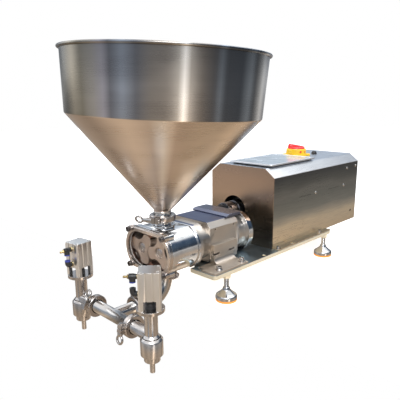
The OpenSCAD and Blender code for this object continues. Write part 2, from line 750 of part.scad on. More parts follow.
module wrap_cover() {
    color("dimgray") difference() {
        union() {
            along_y(case_y0 + sheet_t, case_y1b - sheet_t) difference() {
                case_profile(0);
                case_profile(sheet_t);
            }
            for (s = [-1, 1]) mirror([s < 0 ? 1 : 0, 0, 0])
                translate([case_w / 2 - sheet_t, case_y0 + sheet_t, case_z0])
                    cube([plate_w / 2 - case_w / 2 + sheet_t - 1, plate_l / 2 - case_y0 - 3, 3]);
        }
        four(bench_hole_dx / 2, bench_hole_dy / 2) bar_z(bench_hole_d / 2 + 1.5, 0, 20);
        for (s = [-1, 1]) {
            for (y = case_screw_y) translate([s * case_screw_x, y, 0]) bar_z(3, 0, 20);
            for (p = side_screws) translate([s * case_w / 2, p[0], p[1]]) bar_x(2.2, -5, 5);
            for (row = vent_rows, i = [0 : row[2] - 1])
                translate([s * case_w / 2, row[0] + i * (row[1] - row[0]) / (row[2] - 1), 133])
                    bar_x(1.3, -5, 5);
            translate([s * case_w / 2, 417, 41]) bar_x(4, -5, 5);
        }
        translate([4, 352, 0]) bar_z(6, 200, 240);
        translate([10, 116, 0]) bar_z(16, 200, 240);
        translate([isolator_x, isolator_y, 0]) bar_z(14, 200, 240);
    }
}

module front_panel() {
    color("rosybrown") difference() {
        along_y(case_y0, case_y0 + sheet_t) case_profile(0);
        at_input() bar_y(hole_r, case_y0 - 1, case_y0 + 3);
    }
}

// The rear panel, folded forwards along its foot to close the underside behind the base plate
module rear_panel() {
    color("dimgray") union() {
        difference() {
            along_y(case_y1b - sheet_t, case_y1b) case_profile(0);
            for (i = [-3 : 3], j = [0 : 2])
                translate([i * 16, case_y1b, 150 + j * 14]) bar_y(4, -4, 2);
            translate([-70, case_y1b, 40]) bar_y(10, -4, 2);
        }
        translate([-case_w / 2 + sheet_t, plate_l / 2 + 0.3, case_z0])
            cube([case_w - 2 * sheet_t, case_y1b - sheet_t / 2 - plate_l / 2 - 0.3, sheet_t]);
    }
}

// Dome-headed screws of the enclosure, and the black blanking plug in its top
module cover_screws() {
    color("silver") for (s = [-1, 1]) mirror([s < 0 ? 1 : 0, 0, 0]) {
        for (p = side_screws) translate([case_w / 2, p[0], p[1]]) rotate([0, 90, 0]) union() {
            rotate_extrude() polygon([[0, 0], [4.5, 0], [4.1, 1.4], [2.8, 2.4], [0, 2.8]]);
            bar_z(2.2, -5, 0);
        }
        for (y = case_screw_y) translate([case_screw_x, y, plate_t + 3]) difference() {
            union() {
                bar_z(3, -plate_t - 2, 0);
                bar_z(7, 0, 1.2);
                bar_z(5, 1.2, 6.5);
            }
            hex_z(5, 4, 7);
        }
    }
    color(dark) translate([4, 352, case_z1]) union() {
        bar_z(6, -5, 0);
        rotate_extrude() polygon([[0, 0], [9, 0], [8.5, 4], [6, 9], [0, 9]]);
    }
}

panel_x = 12;
panel_y = 116.5;
panel_w = 148;
panel_l = 219;
module touch_panel() {
    color("lightsteelblue") translate([panel_x, panel_y, case_z1]) difference() {
        union() {
            translate([0, 0, 4]) linear_extrude(4) polygon(cut_rect(panel_w, panel_l, 3));
            linear_extrude(4 + eps) polygon(cut_rect(panel_w - 14, panel_l - 14, 2));
            translate([-2, 0, 0]) bar_z(15.5, -12, 1);
        }
        translate([0, 0, 7.4]) linear_extrude(2) polygon(cut_rect(panel_w - 16, panel_l - 20, 2));
    }
}

isolator_x = -14;
isolator_y = 274;
collar_r = 31.5;
dial_r = 26;
grip_l = 52;
grip_w = 18;
grip_z0 = 25;
grip_z1 = 39;
module isolator_body() {
    color("gold") translate([isolator_x, isolator_y, case_z1]) difference() {
        union() {
            linear_extrude(7) polygon(cut_rect(65, 65, 5));
            rotate_extrude() polygon([
                [0, 6], [collar_r, 6], [collar_r - 1, 22], [collar_r - 3, 23], [0, 23]]);
            bar_z(14, -30, 1);
        }
        bar_z(6.1, 10, 24);
        four(26, 26) bar_z(2.2, 3, 8);
        for (a = [-30, 0]) rotate(a) translate([collar_r - 3, -3, 10]) cube([5, 6, 6]);
    }
}

// The grip's outline seen from one side: half its width at the foot, drawn in at the top
module grip_side(half, inset) {
    polygon([[-half, grip_z0], [half, grip_z0], [half - inset, grip_z1], [-half + inset, grip_z1]]);
}

module isolator_handle() {
    color("red") translate([isolator_x, isolator_y, case_z1]) union() {
        bar_z(6, 12, 24);
        translate([0, 0, 23.3]) rotate_extrude()
            polygon([[0, 0], [dial_r, 0], [dial_r - 1, 4], [0, 5]]);
        rotate(45) intersection() {
            translate([0, 0, grip_z0 + 1]) linear_extrude(grip_z1) polygon(cut_rect(grip_l, grip_w, 4));
            along_y(-grip_w, grip_w) grip_side(grip_l / 2, 5);
            along_x_profile(grip_l) grip_side(grip_w / 2, 2);
        }
    }
}

// ---------------------------------------------------------------- hopper

clamp_h = 16;
gasket_t = 2;
inlet_face_z = 134;
hopper_face_z = inlet_face_z + gasket_t;
hopper_cone_z = 153;
outlet_face_z = 0;
weld_step = 0.4;

module hopper() {
    r0 = port_r;
    seam = weld_step + 0.4;
    r1 = hopper_seam_r;
    r2 = hopper_r;
    h1 = hopper_cone_h;
    h2 = hopper_cone_h + hopper_cyl_h;
    t = hopper_wall;
    color(steel) translate([0, pump_y, 0]) difference() {
        union() {
            translate([0, 0, hopper_face_z]) ferrule(port_r, ferrule_r);
            bar_z(port_r, hopper_face_z + 5, hopper_cone_z + 2);
            translate([0, 0, hopper_cone_z]) rotate([-hopper_lean_y, hopper_lean_x, 0])
                rotate_extrude($fn = 128) polygon([
                    [0, -4], [r0 + seam, -4], [r0 + seam, 0], [r1, h1], [r2, h2 - 10],
                    [r2 + 5.5, h2 - 8], [r2 + 5.5, h2 - 1.5], [r2 + 4, h2], [0, h2]]);
        }
        bar_z(port_r - tube_wall, hopper_face_z - 1, hopper_cone_z + 4);
        translate([0, 0, hopper_cone_z]) rotate([-hopper_lean_y, hopper_lean_x, 0])
            rotate_extrude($fn = 128) polygon([
                [0, -2], [r0 + seam - tube_wall, -2], [r0 + seam - tube_wall, 1],
                [r1 - t, h1 + 0.5], [r2 - t, h2 + 1], [0, h2 + 1]]);
    }
}

hopper_clamp_r = 31;
hopper_clamp_turn = 23.6;
module at_hopper_clamp() {
    translate([0, pump_y, inlet_face_z + gasket_t / 2]) rotate(hopper_clamp_turn) children();
}
long_bolt = 11;
short_bolt = 6.5;
module wing_nut_hopper() {
    at_hopper_clamp() at_clamp_bolt(hopper_clamp_r) wing_nut(33, long_bolt + 1);
}

// ---------------------------------------------------------------- outlet, manifold and clamps

valve_x = nozzle_dx / 2;
valve_y = -448;
manifold_z = -61;
manifold_r = manifold_d / 2;
small_ferrule_r = 20;
small_clamp_r = 25.5;
small_clamp_h = 15;
tee_face_y = -388;
side_face_x = 70;
bend_r = 50;
bend_z = manifold_z + bend_r;
bend_y = pump_y - bend_r;

reducer_l = 18;

// The tube from the pump's outlet: down, round a bend and forwards, then narrower
module outlet_elbow() {
    color("tan") difference() {
        union() {
            translate([0, pump_y, outlet_face_z - gasket_t]) mirror([0, 0, 1])
                ferrule(port_r, ferrule_r);
            translate([0, tee_face_y + gasket_t / 2, manifold_z]) rotate([-90, 0, 0])
                ferrule(manifold_r, small_ferrule_r);
            bend(port_r + weld_step);
            translate([0, pump_y, 0]) bar_z(port_r, bend_z - 1, outlet_face_z - gasket_t - 5);
            reducer(port_r, manifold_r, 1, bend_y - tee_face_y - 6);
        }
        bend(port_r + weld_step - tube_wall);
        translate([0, pump_y, 0]) bar_z(port_r - tube_wall, bend_z - 1.5, outlet_face_z);
        reducer(port_r - tube_wall, manifold_r - tube_wall, 1.5, bend_y - tee_face_y);
    }
}

// A quarter of a ring, from straight down to straight forwards
module bend(r) {
    translate([0, bend_y, bend_z]) rotate([0, 90, 0]) rotate_extrude(angle = 90, $fn = 96)
        translate([bend_r, 0]) circle(r = r);
}

// A bar that starts lead behind the end of the bend, narrows from r0 to r1 and runs on to length l
module reducer(r0, r1, lead, l) {
    translate([0, bend_y, manifold_z]) rotate([90, 0, 0]) rotate_extrude() polygon([
        [0, -lead], [r0, -lead], [r0, 0], [r1, reducer_l], [r1, l], [0, l]]);
}

module at_manifold() {
    translate([0, valve_y, manifold_z]) children();
}

// The tube between the valves, with a branch from the pump
module tee_manifold() {
    face = side_face_x - gasket_t / 2;
    branch_l = tee_face_y - gasket_t / 2 - valve_y;
    color(polished) at_manifold() difference() {
        union() {
            bar_x(manifold_r, -face + 5, face - 5);
            bar_y(manifold_r, 0, branch_l - 5);
            translate([face, 0, 0]) rotate([0, -90, 0]) ferrule(manifold_r, small_ferrule_r);
            translate([-face, 0, 0]) rotate([0, 90, 0]) ferrule(manifold_r, small_ferrule_r);
            translate([0, branch_l, 0]) rotate([90, 0, 0]) ferrule(manifold_r, small_ferrule_r);
        }
        bar_x(manifold_r - tube_wall, -face - 1, face + 1);
        bar_y(manifold_r - tube_wall, 0, branch_l + 1);
    }
}

module at_tee_clamp() {
    translate([0, tee_face_y, manifold_z]) rotate([90, 0, 0]) rotate(180) children();
}
module at_left_clamp() {
    translate([-side_face_x, valve_y, manifold_z]) rotate([0, 90, 0]) rotate(-25) children();
}
module at_right_clamp() {
    translate([side_face_x, valve_y, manifold_z]) rotate([0, -90, 0]) rotate(10) children();
}
module at_outlet_clamp() {
    translate([0, pump_y, outlet_face_z - gasket_t / 2]) rotate(90) children();
}

// The clamps of the hopper, the manifold and the pump's outlet
module pipe_clamps() {
    color(steel) union() {
        at_hopper_clamp() clamp_band(hopper_clamp_r, ferrule_r, clamp_h, long_bolt);
        at_tee_clamp() small_clamp();
        at_left_clamp() small_clamp();
        at_right_clamp() small_clamp();
        at_outlet_clamp() {
            clamp_band(hopper_clamp_r, ferrule_r, small_clamp_h, short_bolt);
            translate([0, -(hopper_clamp_r + lug_out), 0]) bar_x(5, -14, -8.6);
        }
    }
}
module small_clamp() { clamp_band(small_clamp_r, small_ferrule_r, small_clamp_h, short_bolt); }
module small_wing_nut() { at_clamp_bolt(small_clamp_r) wing_nut(15, short_bolt + 0.5); }
module wing_nut_tee() { at_tee_clamp() small_wing_nut(); }
module wing_nut_left() { at_left_clamp() small_wing_nut(); }
module wing_nut_right() { at_right_clamp() small_wing_nut(); }

// A flat ring between two ferrules; the gaskets include the seal of the pump's cover
module gasket(r0, r1) {
    translate([0, 0, -gasket_t / 2]) difference() {
        cylinder(r = r1, h = gasket_t);
        translate([0, 0, -1]) cylinder(r = r0, h = gasket_t + 2);
    }
}
module gaskets() {
    small_bore = manifold_r - tube_wall;
    color("whitesmoke") union() {
        at_pump() along_y(chamber_y0 - 1.5, chamber_y0) difference() {
            pump_outline(rotor_c, chamber_r + 2.6, chamber_r + 2.6);
            pump_outline(rotor_c, chamber_r + 0.6, chamber_r + 0.6);
        }
        at_hopper_clamp() gasket(port_r - tube_wall, ferrule_r - 0.5);
        at_outlet_clamp() gasket(port_r - tube_wall, ferrule_r - 0.5);
        at_tee_clamp() gasket(small_bore, small_ferrule_r - 0.5);
        at_left_clamp() gasket(small_bore, small_ferrule_r - 0.5);
        at_right_clamp() gasket(small_bore, small_ferrule_r - 0.5);
    }
}

// ---------------------------------------------------------------- nozzle valves

yoke_z = 2;
cyl_z0 = 23;
cyl_z1 = 82;
body_r = 23.5;
body_z0 = -101;
body_z1 = -66;
step_z0 = -115;
tip_z0 = -142;
neck_z1 = -5;
rod_r = 4;
piston_r = 16;
piston_l = 18;
head_t = 4;
piston_z0 = cyl_z1 - head_t - rod_travel - 0.3 - piston_l;

module at_valve(s, a) {
    translate([s * valve_x, valve_y, 0]) rotate(a) children();
}

// The valve's body: flange, neck, chamber, outlet and tip, with a stub to the manifold at side s
module valve_body(s) {
    stub_l = valve_x - side_face_x - gasket_t / 2;
    difference() {
        union() {
            rotate_extrude() polygon([
                [0, yoke_z], [29, yoke_z], [29, neck_z1], [14, neck_z1], [14, -56],
                [body_r - 1, body_z1], [body_r, body_z1 - 1.5], [body_r, body_z0 + 1],
                [body_r - 1, body_z0], [17, body_z0], [17, step_z0 + 1], [16, step_z0],
                [tip_d / 2, step_z0], [tip_d / 2, tip_z0], [0, tip_z0]]);
            translate([0, 0, manifold_z]) bar_x(manifold_r, 0, stub_l - 5);
            translate([stub_l, 0, manifold_z]) rotate([0, -90, 0])
                ferrule(manifold_r, small_ferrule_r);
        }
        bar_z(rod_r + 0.06, -20, yoke_z + 1);
        bar_z(10, -62, -18);
        bar_z(body_r - 4.5, -96, -61);
        translate([0, 0, -106]) cylinder(r1 = tip_bore / 2, r2 = body_r - 8, h = 10 + eps);
        bar_z(tip_bore / 2, tip_z0 - 1, -105);
        translate([0, 0, manifold_z]) bar_x(manifold_r - tube_wall, 0, stub_l + 1);
    }
}

module valve_left() {
    color("silver") translate([-valve_x, valve_y, 0]) valve_body(-1);
}
module valve_right() {
    color("silver") translate([valve_x, valve_y, 0]) mirror([1, 0, 0]) valve_body(1);
}

// The air cylinder on its four legs, with slots along its faces and screws in its corners
leg_w = 10;
module actuator(s, a) {
    w = cylinder_w;
    color("lightgray") at_valve(s, a) {
        difference() {
            translate([0, 0, cyl_z0]) linear_extrude(cyl_z1 - cyl_z0) difference() {
                polygon(cut_rect(w, w, 3));
                for (q = [0, 90, 180, 270]) rotate(q) for (d = [-7, 7])
                    translate([w / 2 - 2, d - 1.5]) square([4, 3]);
            }
            bar_z(piston_r + 0.05, cyl_z0 + 6, cyl_z1 - head_t);
            bar_z(rod_r + 2, cyl_z0 - 1, cyl_z0 + 7);
            for (z = fitting_z) translate([0, 0, z]) bar_y(4.66, -w, -piston_r + 1);
            four(16.5, 16.5) bar_z(3.6, cyl_z1 - 3, cyl_z1 + 1);
        }
        four(16.5, 16.5) difference() {
            bar_z(3, cyl_z1 - 4, cyl_z1 - 0.6);
            hex_z(3, cyl_z1 - 2.5, cyl_z1);
        }
        translate([0, 0, yoke_z]) linear_extrude(cyl_z0 - yoke_z + 1) intersection() {
            polygon(cut_rect(w, w, 3));
            four(w / 2 - leg_w / 2, w / 2 - leg_w / 2) square(leg_w, center = true);
        }
    }
}
fitting_z = [32, 68];
module actuator_left() { actuator(-1, valve_turn_left); }
module actuator_right() { actuator(1, valve_turn_right); }

// The rod with its piston and the plug that closes the nozzle
module valve_rod(s) {
    color("silver") translate([s * valve_x, valve_y, 0]) rotate_extrude() polygon([
        [0, -105.5], [tip_bore / 2 - 0.4, -105.5], [body_r - 9.5, -97], [body_r - 10, -92],
        [rod_r + 2, -84], [rod_r, -82], [rod_r, piston_z0], [piston_r, piston_z0],
        [piston_r, piston_z0 + piston_l], [0, piston_z0 + piston_l]]);
}
module valve_rod_left() { valve_rod(-1); }
module valve_rod_right() { valve_rod(1); }

// The black seals round the rods, above the flanges
module rod_seals() {
    color(dark) for (s = [-1, 1]) translate([s * valve_x, valve_y, 0]) difference() {
        rotate_extrude() polygon([[0, yoke_z], [11, yoke_z], [11, yoke_z + 9],
            [8, yoke_z + 13], [0, yoke_z + 13]]);
        bar_z(rod_r + 0.06, 0, 40);
    }
}

// An air fitting on the cylinder's -Y face: a round body on a threaded stem, with its port
// along Z at the side p; the upper one ends in a brass needle
fitting_body_r = 6.4;
fitting_l = 18;
port_l = 12.5;
module fitting(s, a, z, p, needle_l) {
    color(dark) at_valve(s, a) translate([0, -cylinder_w / 2, z]) {
        bar_y(4.6, -3, 5);
        difference() {
            union() {
                bar_y(fitting_body_r, -fitting_l, -2);
                translate([0, -11, 0]) mirror([0, 0, p < 0 ? 1 : 0])
                    rotate_extrude() polygon([[0, 0], [6.2, 0], [6.6, port_l - 1.5],
                        [5.8, port_l], [0, port_l]]);
                if (needle_l > 0) bar_y(2.4, -fitting_l - needle_l, -fitting_l + 1);
                if (needle_l > 0) bar_y(3.4, -fitting_l - needle_l, -fitting_l - needle_l + 4);
            }
            translate([0, -11, 0]) mirror([0, 0, p < 0 ? 1 : 0]) bar_z(3, 6, 20);
        }
    }
}
module fitting_upper_left() { fitting(-1, valve_turn_left, fitting_z[1], -1, 11); }
module fitting_lower_left() { fitting(-1, valve_turn_left, fitting_z[0], 1, 0); }
module fitting_upper_right() { fitting(1, valve_turn_right, fitting_z[1], -1, 11); }
module fitting_lower_right() { fitting(1, valve_turn_right, fitting_z[0], 1, 0); }

base_plate();
foot_front_left();
foot_front_right();
foot_rear_left();
foot_rear_right();
pad_front_left();
pad_front_right();
pad_rear_left();
pad_rear_right();
pump_case();
cover_ring();
pump_cover();
cover_bolts();
rotor_left();
rotor_right();
rotor_nut_left();
rotor_nut_right();
shaft_left();
shaft_right();
timing_gear_left();
timing_gear_right();
shaft_bearings();
gearbox_housing();
gearbox_top_cover();
rear_flange();
oil_plug();
brackets();
frame_bolts();
input_shaft();
coupling();
servo_motor();
motor_bracket();
servo_driver();
wrap_cover();
front_panel();
rear_panel();
cover_screws();
touch_panel();
isolator_body();
isolator_handle();
hopper();
outlet_elbow();
tee_manifold();
pipe_clamps();
gaskets();
wing_nut_hopper();
wing_nut_tee();
wing_nut_left();
wing_nut_right();
valve_left();
valve_right();
actuator_left();
actuator_right();
valve_rod_left();
valve_rod_right();
rod_seals();
fitting_upper_left();
fitting_lower_left();
fitting_upper_right();
fitting_lower_right();
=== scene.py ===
import json
import math
import bmesh
import bpy
import numpy as np
from mathutils import Matrix, Vector

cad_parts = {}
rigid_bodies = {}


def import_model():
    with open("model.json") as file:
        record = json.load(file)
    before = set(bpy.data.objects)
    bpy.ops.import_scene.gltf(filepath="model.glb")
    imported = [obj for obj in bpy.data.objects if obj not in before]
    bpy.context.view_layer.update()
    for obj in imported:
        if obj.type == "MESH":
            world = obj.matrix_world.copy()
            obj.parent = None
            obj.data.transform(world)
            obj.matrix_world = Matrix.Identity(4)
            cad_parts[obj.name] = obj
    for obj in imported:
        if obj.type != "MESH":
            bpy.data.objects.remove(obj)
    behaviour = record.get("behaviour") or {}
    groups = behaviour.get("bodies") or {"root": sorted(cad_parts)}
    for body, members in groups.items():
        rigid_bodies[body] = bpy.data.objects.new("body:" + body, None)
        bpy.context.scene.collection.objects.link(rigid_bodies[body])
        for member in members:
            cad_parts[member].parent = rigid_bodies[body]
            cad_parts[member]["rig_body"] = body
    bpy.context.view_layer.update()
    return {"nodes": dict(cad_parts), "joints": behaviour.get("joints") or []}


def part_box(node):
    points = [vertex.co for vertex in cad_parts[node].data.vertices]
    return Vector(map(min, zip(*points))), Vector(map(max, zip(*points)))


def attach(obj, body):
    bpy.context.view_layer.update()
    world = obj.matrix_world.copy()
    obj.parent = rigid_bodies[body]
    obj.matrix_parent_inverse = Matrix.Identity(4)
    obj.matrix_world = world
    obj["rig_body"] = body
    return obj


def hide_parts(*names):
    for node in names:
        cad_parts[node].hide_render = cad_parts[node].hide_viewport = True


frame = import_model()
nodes = frame["nodes"]
mm = 0.001
tau = 2 * math.pi
print("frame loaded:", len(nodes), "nodes")


# shader maths: + - * / on a Wire adds the Math nodes

class Wire:
    # one node output, or a bare tree when no node is made yet
    def __init__(self, tree, socket=None):
        self.tree = tree
        self.socket = socket

    # any node: its settings first, then the values or links of its sockets
    def node(self, kind, settings={}, inputs={}, out=0):
        made = self.tree.nodes.new("ShaderNode" + kind)
        for name, value in settings.items():
            if name == "stops":
                self.setStops(made.color_ramp, value)
            else:
                setattr(made, name, value)
        for name, value in inputs.items():
            self.feed(made.inputs[name], value)
        return Wire(self.tree, made.outputs[out])

    def setStops(self, ramp, stops):
        while len(ramp.elements) < len(stops):
            ramp.elements.new(0.5)
        for element, (place, colour) in zip(ramp.elements, stops):
            element.position = place
            element.color = (*colour, 1)

    def feed(self, socket, value):
        if isinstance(value, Wire):
            self.tree.links.new(value.socket, socket)
        elif isinstance(value, tuple) and len(value) == 3 and socket.type == "RGBA":
            socket.default_value = (*value, 1)
        else:
            socket.default_value = value

    def maths(self, operation, a, b=0.0):
        return self.node("Math", {"operation": operation}, {0: a, 1: b})

    def __add__(self, other): return self.maths("ADD", self, other)
    def __radd__(self, other): return self.maths("ADD", other, self)
    def __sub__(self, other): return self.maths("SUBTRACT", self, other)
    def __rsub__(self, other): return self.maths("SUBTRACT", other, self)
    def __mul__(self, other): return self.maths("MULTIPLY", self, other)
    def __rmul__(self, other): return self.maths("MULTIPLY", other, self)
    def __truediv__(self, other): return self.maths("DIVIDE", self, other)
    def __rtruediv__(self, other): return self.maths("DIVIDE", other, self)
    def __pow__(self, other): return self.maths("POWER", self, other)

    # 0 below low, 1 above high, and smooth between them
    def step(self, low, high):
        return self.node("MapRange", {"interpolation_type": "SMOOTHSTEP"},
                         {"Value": self, "From Min": low, "From Max": high})

    def ramp(self, stops):
        return self.node("ValToRGB", {"stops": stops}, {0: self})

    # colours: a where the wire is 0 and b where it is 1
    def mix(self, a, b):
        return self.node("Mix", {"data_type": "RGBA"}, {0: self, 6: a, 7: b}, out=2)

    # one colour multiplied by another
    def tinted(self, colour):
        return self.node("Mix", {"data_type": "RGBA", "blend_type": "MULTIPLY"},
                         {0: 1.0, 6: self, 7: colour}, out=2)

    # x, y or z of a vector
    def part(self, number):
        return self.node("SeparateXYZ", {}, {0: self}, out=number)

    def dot(self, direction):
        return self.node("VectorMath", {"operation": "DOT_PRODUCT"}, {0: self, 1: direction}, out=1)

    def minus(self, place):
        return self.node("VectorMath", {"operation": "SUBTRACT"}, {0: self, 1: place})

    def times(self, scale):
        return self.node("VectorMath", {"operation": "MULTIPLY"}, {0: self, 1: scale})

    # noise about 0.5, on the wire's vector stretched by scale
    def noise(self, scale, detail=3.0):
        return self.node("TexNoise", {}, {"Vector": self.times(scale), "Scale": 1.0, "Detail": detail})


def newMaterial(name):
    made = bpy.data.materials.new(name)
    made.use_nodes = True
    shader = made.node_tree.nodes["Principled BSDF"]
    wire = Wire(made.node_tree)
    place = wire.node("TexCoord", out=3)
    return made, wire, shader, place


def bumped(wire, shader, height, strength, distance):
    wire.feed(shader.inputs["Normal"], wire.node("Bump", {}, {
        "Height": height, "Strength": strength, "Distance": distance}, out=0))


# finishes

# metal: fine brush lines along one direction, slow changes of tone, and smudges in the gloss
def metal(name, colour, shade, rough, brush=(40, 40, 40), lines=0.25, bump=0.04, smudge=0.08):
    made, wire, shader, place = newMaterial(name)
    grain = place.noise(tuple(60.0 * b for b in brush), 2.0)
    slow = place.noise((9.0, 9.0, 9.0), 2.0)
    dull = place.noise((34.0, 34.0, 34.0), 5.0)
    tone = slow.step(0.32, 0.68) * (1 - lines) + grain * lines
    wire.feed(shader.inputs["Base Color"], tone.mix(shade, colour))
    wire.feed(shader.inputs["Roughness"], dull.step(0.4, 0.75) * smudge + grain * 0.05 + (rough - 0.025))
    shader.inputs["Metallic"].default_value = 1.0
    bumped(wire, shader, grain, bump, 0.0002)
    return made


# repaints a metal above a height with a painted reflection; below it, dull takes away part of its metallic
# look
def paintReflectionAbove(made, height, colour, dull):
    shader = made.node_tree.nodes["Principled BSDF"]
    tone = Wire(made.node_tree, shader.inputs["Base Color"].links[0].from_socket)
    place = tone.node("TexCoord", out=3)
    above = place.part(2).step(height - 0.0002, height + 0.0001)
    tone.feed(shader.inputs["Base Color"], above.mix(tone, colour))
    tone.feed(shader.inputs["Metallic"], above * dull + (1 - dull))


# plastic and rubber: a fine moulded grain, faint mottling and scuffs
def moulded(name, colour, rough, grainSize=1400.0, bump=0.06, coat=0.0):
    made, wire, shader, place = newMaterial(name)
    grain = place.noise((grainSize,) * 3, 2.0)
    mottle = place.noise((22.0, 22.0, 22.0), 4.0)
    dark = tuple(c * 0.82 for c in colour)
    wire.feed(shader.inputs["Base Color"], mottle.step(0.3, 0.7).mix(dark, colour))
    wire.feed(shader.inputs["Roughness"], mottle.step(0.45, 0.8) * 0.12 + rough)
    shader.inputs["Coat Weight"].default_value = coat
    bumped(wire, shader, grain, bump, 0.0002)
    return made


# spun steel of the hopper: painted reflections, light and dark bands and bright streaks by the angle about
# its leaning axis, warm painted reflection below the seam and painted shade towards the rim
def spunSteel(name, hopper):
    made, wire, shader, place = newMaterial(name)
    fromBase = place.minus(hopper["base"])
    up = hopper["axis"]
    side = Vector((1, 0, 0)) - Vector(up) * up[0]
    side.normalize()
    cross = Vector(up).cross(side)
    height = fromBase.dot(up)
    angle = wire.maths("ARCTAN2", fromBase.dot(tuple(cross)), fromBase.dot(tuple(side)))
    turnPart = angle / tau + 0.5
    fine = fromBase.noise((1.5, 1.5, 1300.0), 1.0)
    cloudy = fromBase.noise((7.0, 7.0, 20.0), 2.0)
    # painted reflections on the wall: light and dark bands and bright streaks
    paintedWallLight = turnPart.ramp(hopper["paintedWallReflections"])
    # painted shade: the wall is darkened towards the rim
    shadow = height.step(hopper["seam"] + 0.02, hopper["seam"] + 0.14) * 0.45
    paintedWallLight = shadow.mix(paintedWallLight, (0.05, 0.055, 0.06))
    # painted reflections on the cone: warm light and dark bands
    warm = turnPart.ramp(hopper["paintedConeReflections"])
    seam = height.step(hopper["seam"] - 0.0006, hopper["seam"] + 0.0006)
    tone = seam.mix(warm, paintedWallLight)
    worn = (fine * 0.25 + cloudy * 0.75).step(0.25, 0.75)
    wire.feed(shader.inputs["Base Color"], worn.mix(tone.tinted((0.80, 0.80, 0.81)), tone))
    wire.feed(shader.inputs["Roughness"], cloudy.step(0.4, 0.8) * 0.08 + fine * 0.06 + hopper["rough"])
    shader.inputs["Metallic"].default_value = 1.0
    bumped(wire, shader, fine, 0.02, 0.0001)
    return made


# brushed sheet of the enclosure: painted reflections by height, darker at the top and warm towards its foot
def sheetSteel(name, sheet):
    made, wire, shader, place = newMaterial(name)
    height = place.part(2)
    slow = place.noise((5.0, 3.0, 9.0), 3.0)
    grain = place.noise((900.0, 24.0, 900.0), 2.0)
    drift = (slow - 0.5) * 0.05 * (1 - height.step(sheet["slope"] - 0.02, sheet["slope"] - 0.004))
    rise = ((height + drift) - sheet["low"]) / (sheet["high"] - sheet["low"])
    # painted reflections and highlight, by height
    tone = rise.ramp(sheet["paintedLightTones"])
    dark = tone.tinted((0.86, 0.86, 0.86))
    wire.feed(shader.inputs["Base Color"], grain.step(0.3, 0.7).mix(dark, tone))
    wire.feed(shader.inputs["Roughness"], slow.step(0.4, 0.8) * 0.08 + grain * 0.06 + sheet["rough"])
    shader.inputs["Metallic"].default_value = 1.0
    bumped(wire, shader, grain, 0.04, 0.0002)
    return made


# steel of the pump's case: red-brown inside the chamber, which lies within a distance of the two shafts.
# that distance is the length of (|x| past half the shafts' spacing, z from the shafts)
def chamberSteel(name, colour, shade, inside, rough):
    made, wire, shader, place = newMaterial(name)
    x, y, z = (place.part(k) for k in range(3))
    past = x.maths("MAXIMUM", x.maths("ABSOLUTE", x) - pumpChamber["spread"], 0.0)
    away = (past ** 2 + (z - pumpChamber["height"]) ** 2) ** 0.5
    outer = away.step(pumpChamber["reach"] - 0.0005, pumpChamber["reach"] + 0.0005)
    outer = x.maths("MAXIMUM", outer, y.step(pumpChamber["back"], pumpChamber["back"] + 0.001))
    grain = place.noise((180.0, 1800.0, 1800.0), 2.0)
    dull = place.noise((34.0, 34.0, 34.0), 5.0)
    tone = (dull.step(0.3, 0.7) * 0.8 + grain * 0.2).mix(shade, colour)
    wire.feed(shader.inputs["Base Color"], outer.mix(inside, tone))
    worn = (1 - outer) * pumpChamber["dull"] + dull.step(0.4, 0.75) * 0.06
    wire.feed(shader.inputs["Roughness"], worn + rough)
    shader.inputs["Metallic"].default_value = 1.0
    bumped(wire, shader, grain, 0.02, 0.0002)
    return made


# steel screws below a height, and black plastic above it
def screwSteel(name, colour, height):
    made, wire, shader, place = newMaterial(name)
    plug = place.part(2).step(height - 0.0003, height)
    grain = place.noise((900.0, 900.0, 900.0), 2.0)
    dark = tuple(0.7 * c for c in colour)
    wire.feed(shader.inputs["Base Color"], plug.mix(grain.mix(dark, colour), (0.02, 0.02, 0.022)))
    wire.feed(shader.inputs["Metallic"], 1 - plug)
    wire.feed(shader.inputs["Roughness"], grain * 0.1 + plug * 0.2 + 0.16)
    bumped(wire, shader, grain, 0.04, 0.0002)
    return made


# clear tinted plastic of the pump's cover
def clearPlastic(name, colour):
    made, wire, shader, place = newMaterial(name)
    haze = place.noise((60.0, 60.0, 60.0), 4.0)
    shader.inputs["Base Color"].default_value = (*colour, 1)
    shader.inputs["Transmission Weight"].default_value = 1.0
    shader.inputs["IOR"].default_value = 1.2
    wire.feed(shader.inputs["Roughness"], haze.step(0.45, 0.8) * 0.06 + 0.02)
    wire.feed(shader.inputs["Alpha"], haze.step(0.4, 0.8) * 0.10 + 0.20)
    return made


# meshes from arrays

# quads between neighbouring points of a grid; wrapped sides join up
def gridFaces(rows, columns, wrapRows, wrapColumns):
    r, c = np.meshgrid(np.arange(rows - (not wrapRows)), np.arange(columns - (not wrapColumns)),
                       indexing="ij")
    r2, c2 = (r + 1) % rows, (c + 1) % columns
    corners = [r * columns + c, r2 * columns + c, r2 * columns + c2, r * columns + c2]
    return np.stack(corners, -1).reshape(-1, 4)


# one piece from several grids, each (points, wrapRows, wrapColumns, material number)
def surface(name, grids, materials, body, sharp=32):
    points, faces, marks, start = [], [], [], 0
    for grid, wrapRows, wrapColumns, mark in grids:
        quads = gridFaces(grid.shape[0], grid.shape[1], wrapRows, wrapColumns) + start
        points.append(grid.reshape(-1, 3))
        faces.append(quads)
        marks.append(np.full(len(quads), mark))
        start += grid.shape[0] * grid.shape[1]
    mesh = bpy.data.meshes.new(name)
    mesh.from_pydata(np.vstack(points).tolist(), [], np.vstack(faces).tolist())
    for material in materials:
        mesh.materials.append(material)
    mesh.polygons.foreach_set("material_index", np.concatenate(marks).astype(np.int32))
    work = bmesh.new()
    work.from_mesh(mesh)
    bmesh.ops.remove_doubles(work, verts=work.verts, dist=1e-6)
    bmesh.ops.recalc_face_normals(work, faces=work.faces)
    work.to_mesh(mesh)
    work.free()
    mesh.shade_smooth()
    mesh.set_sharp_from_angle(angle=math.radians(sharp))
    piece = bpy.data.objects.new(name, mesh)
    bpy.context.scene.collection.objects.link(piece)
    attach(piece, body)
    return piece


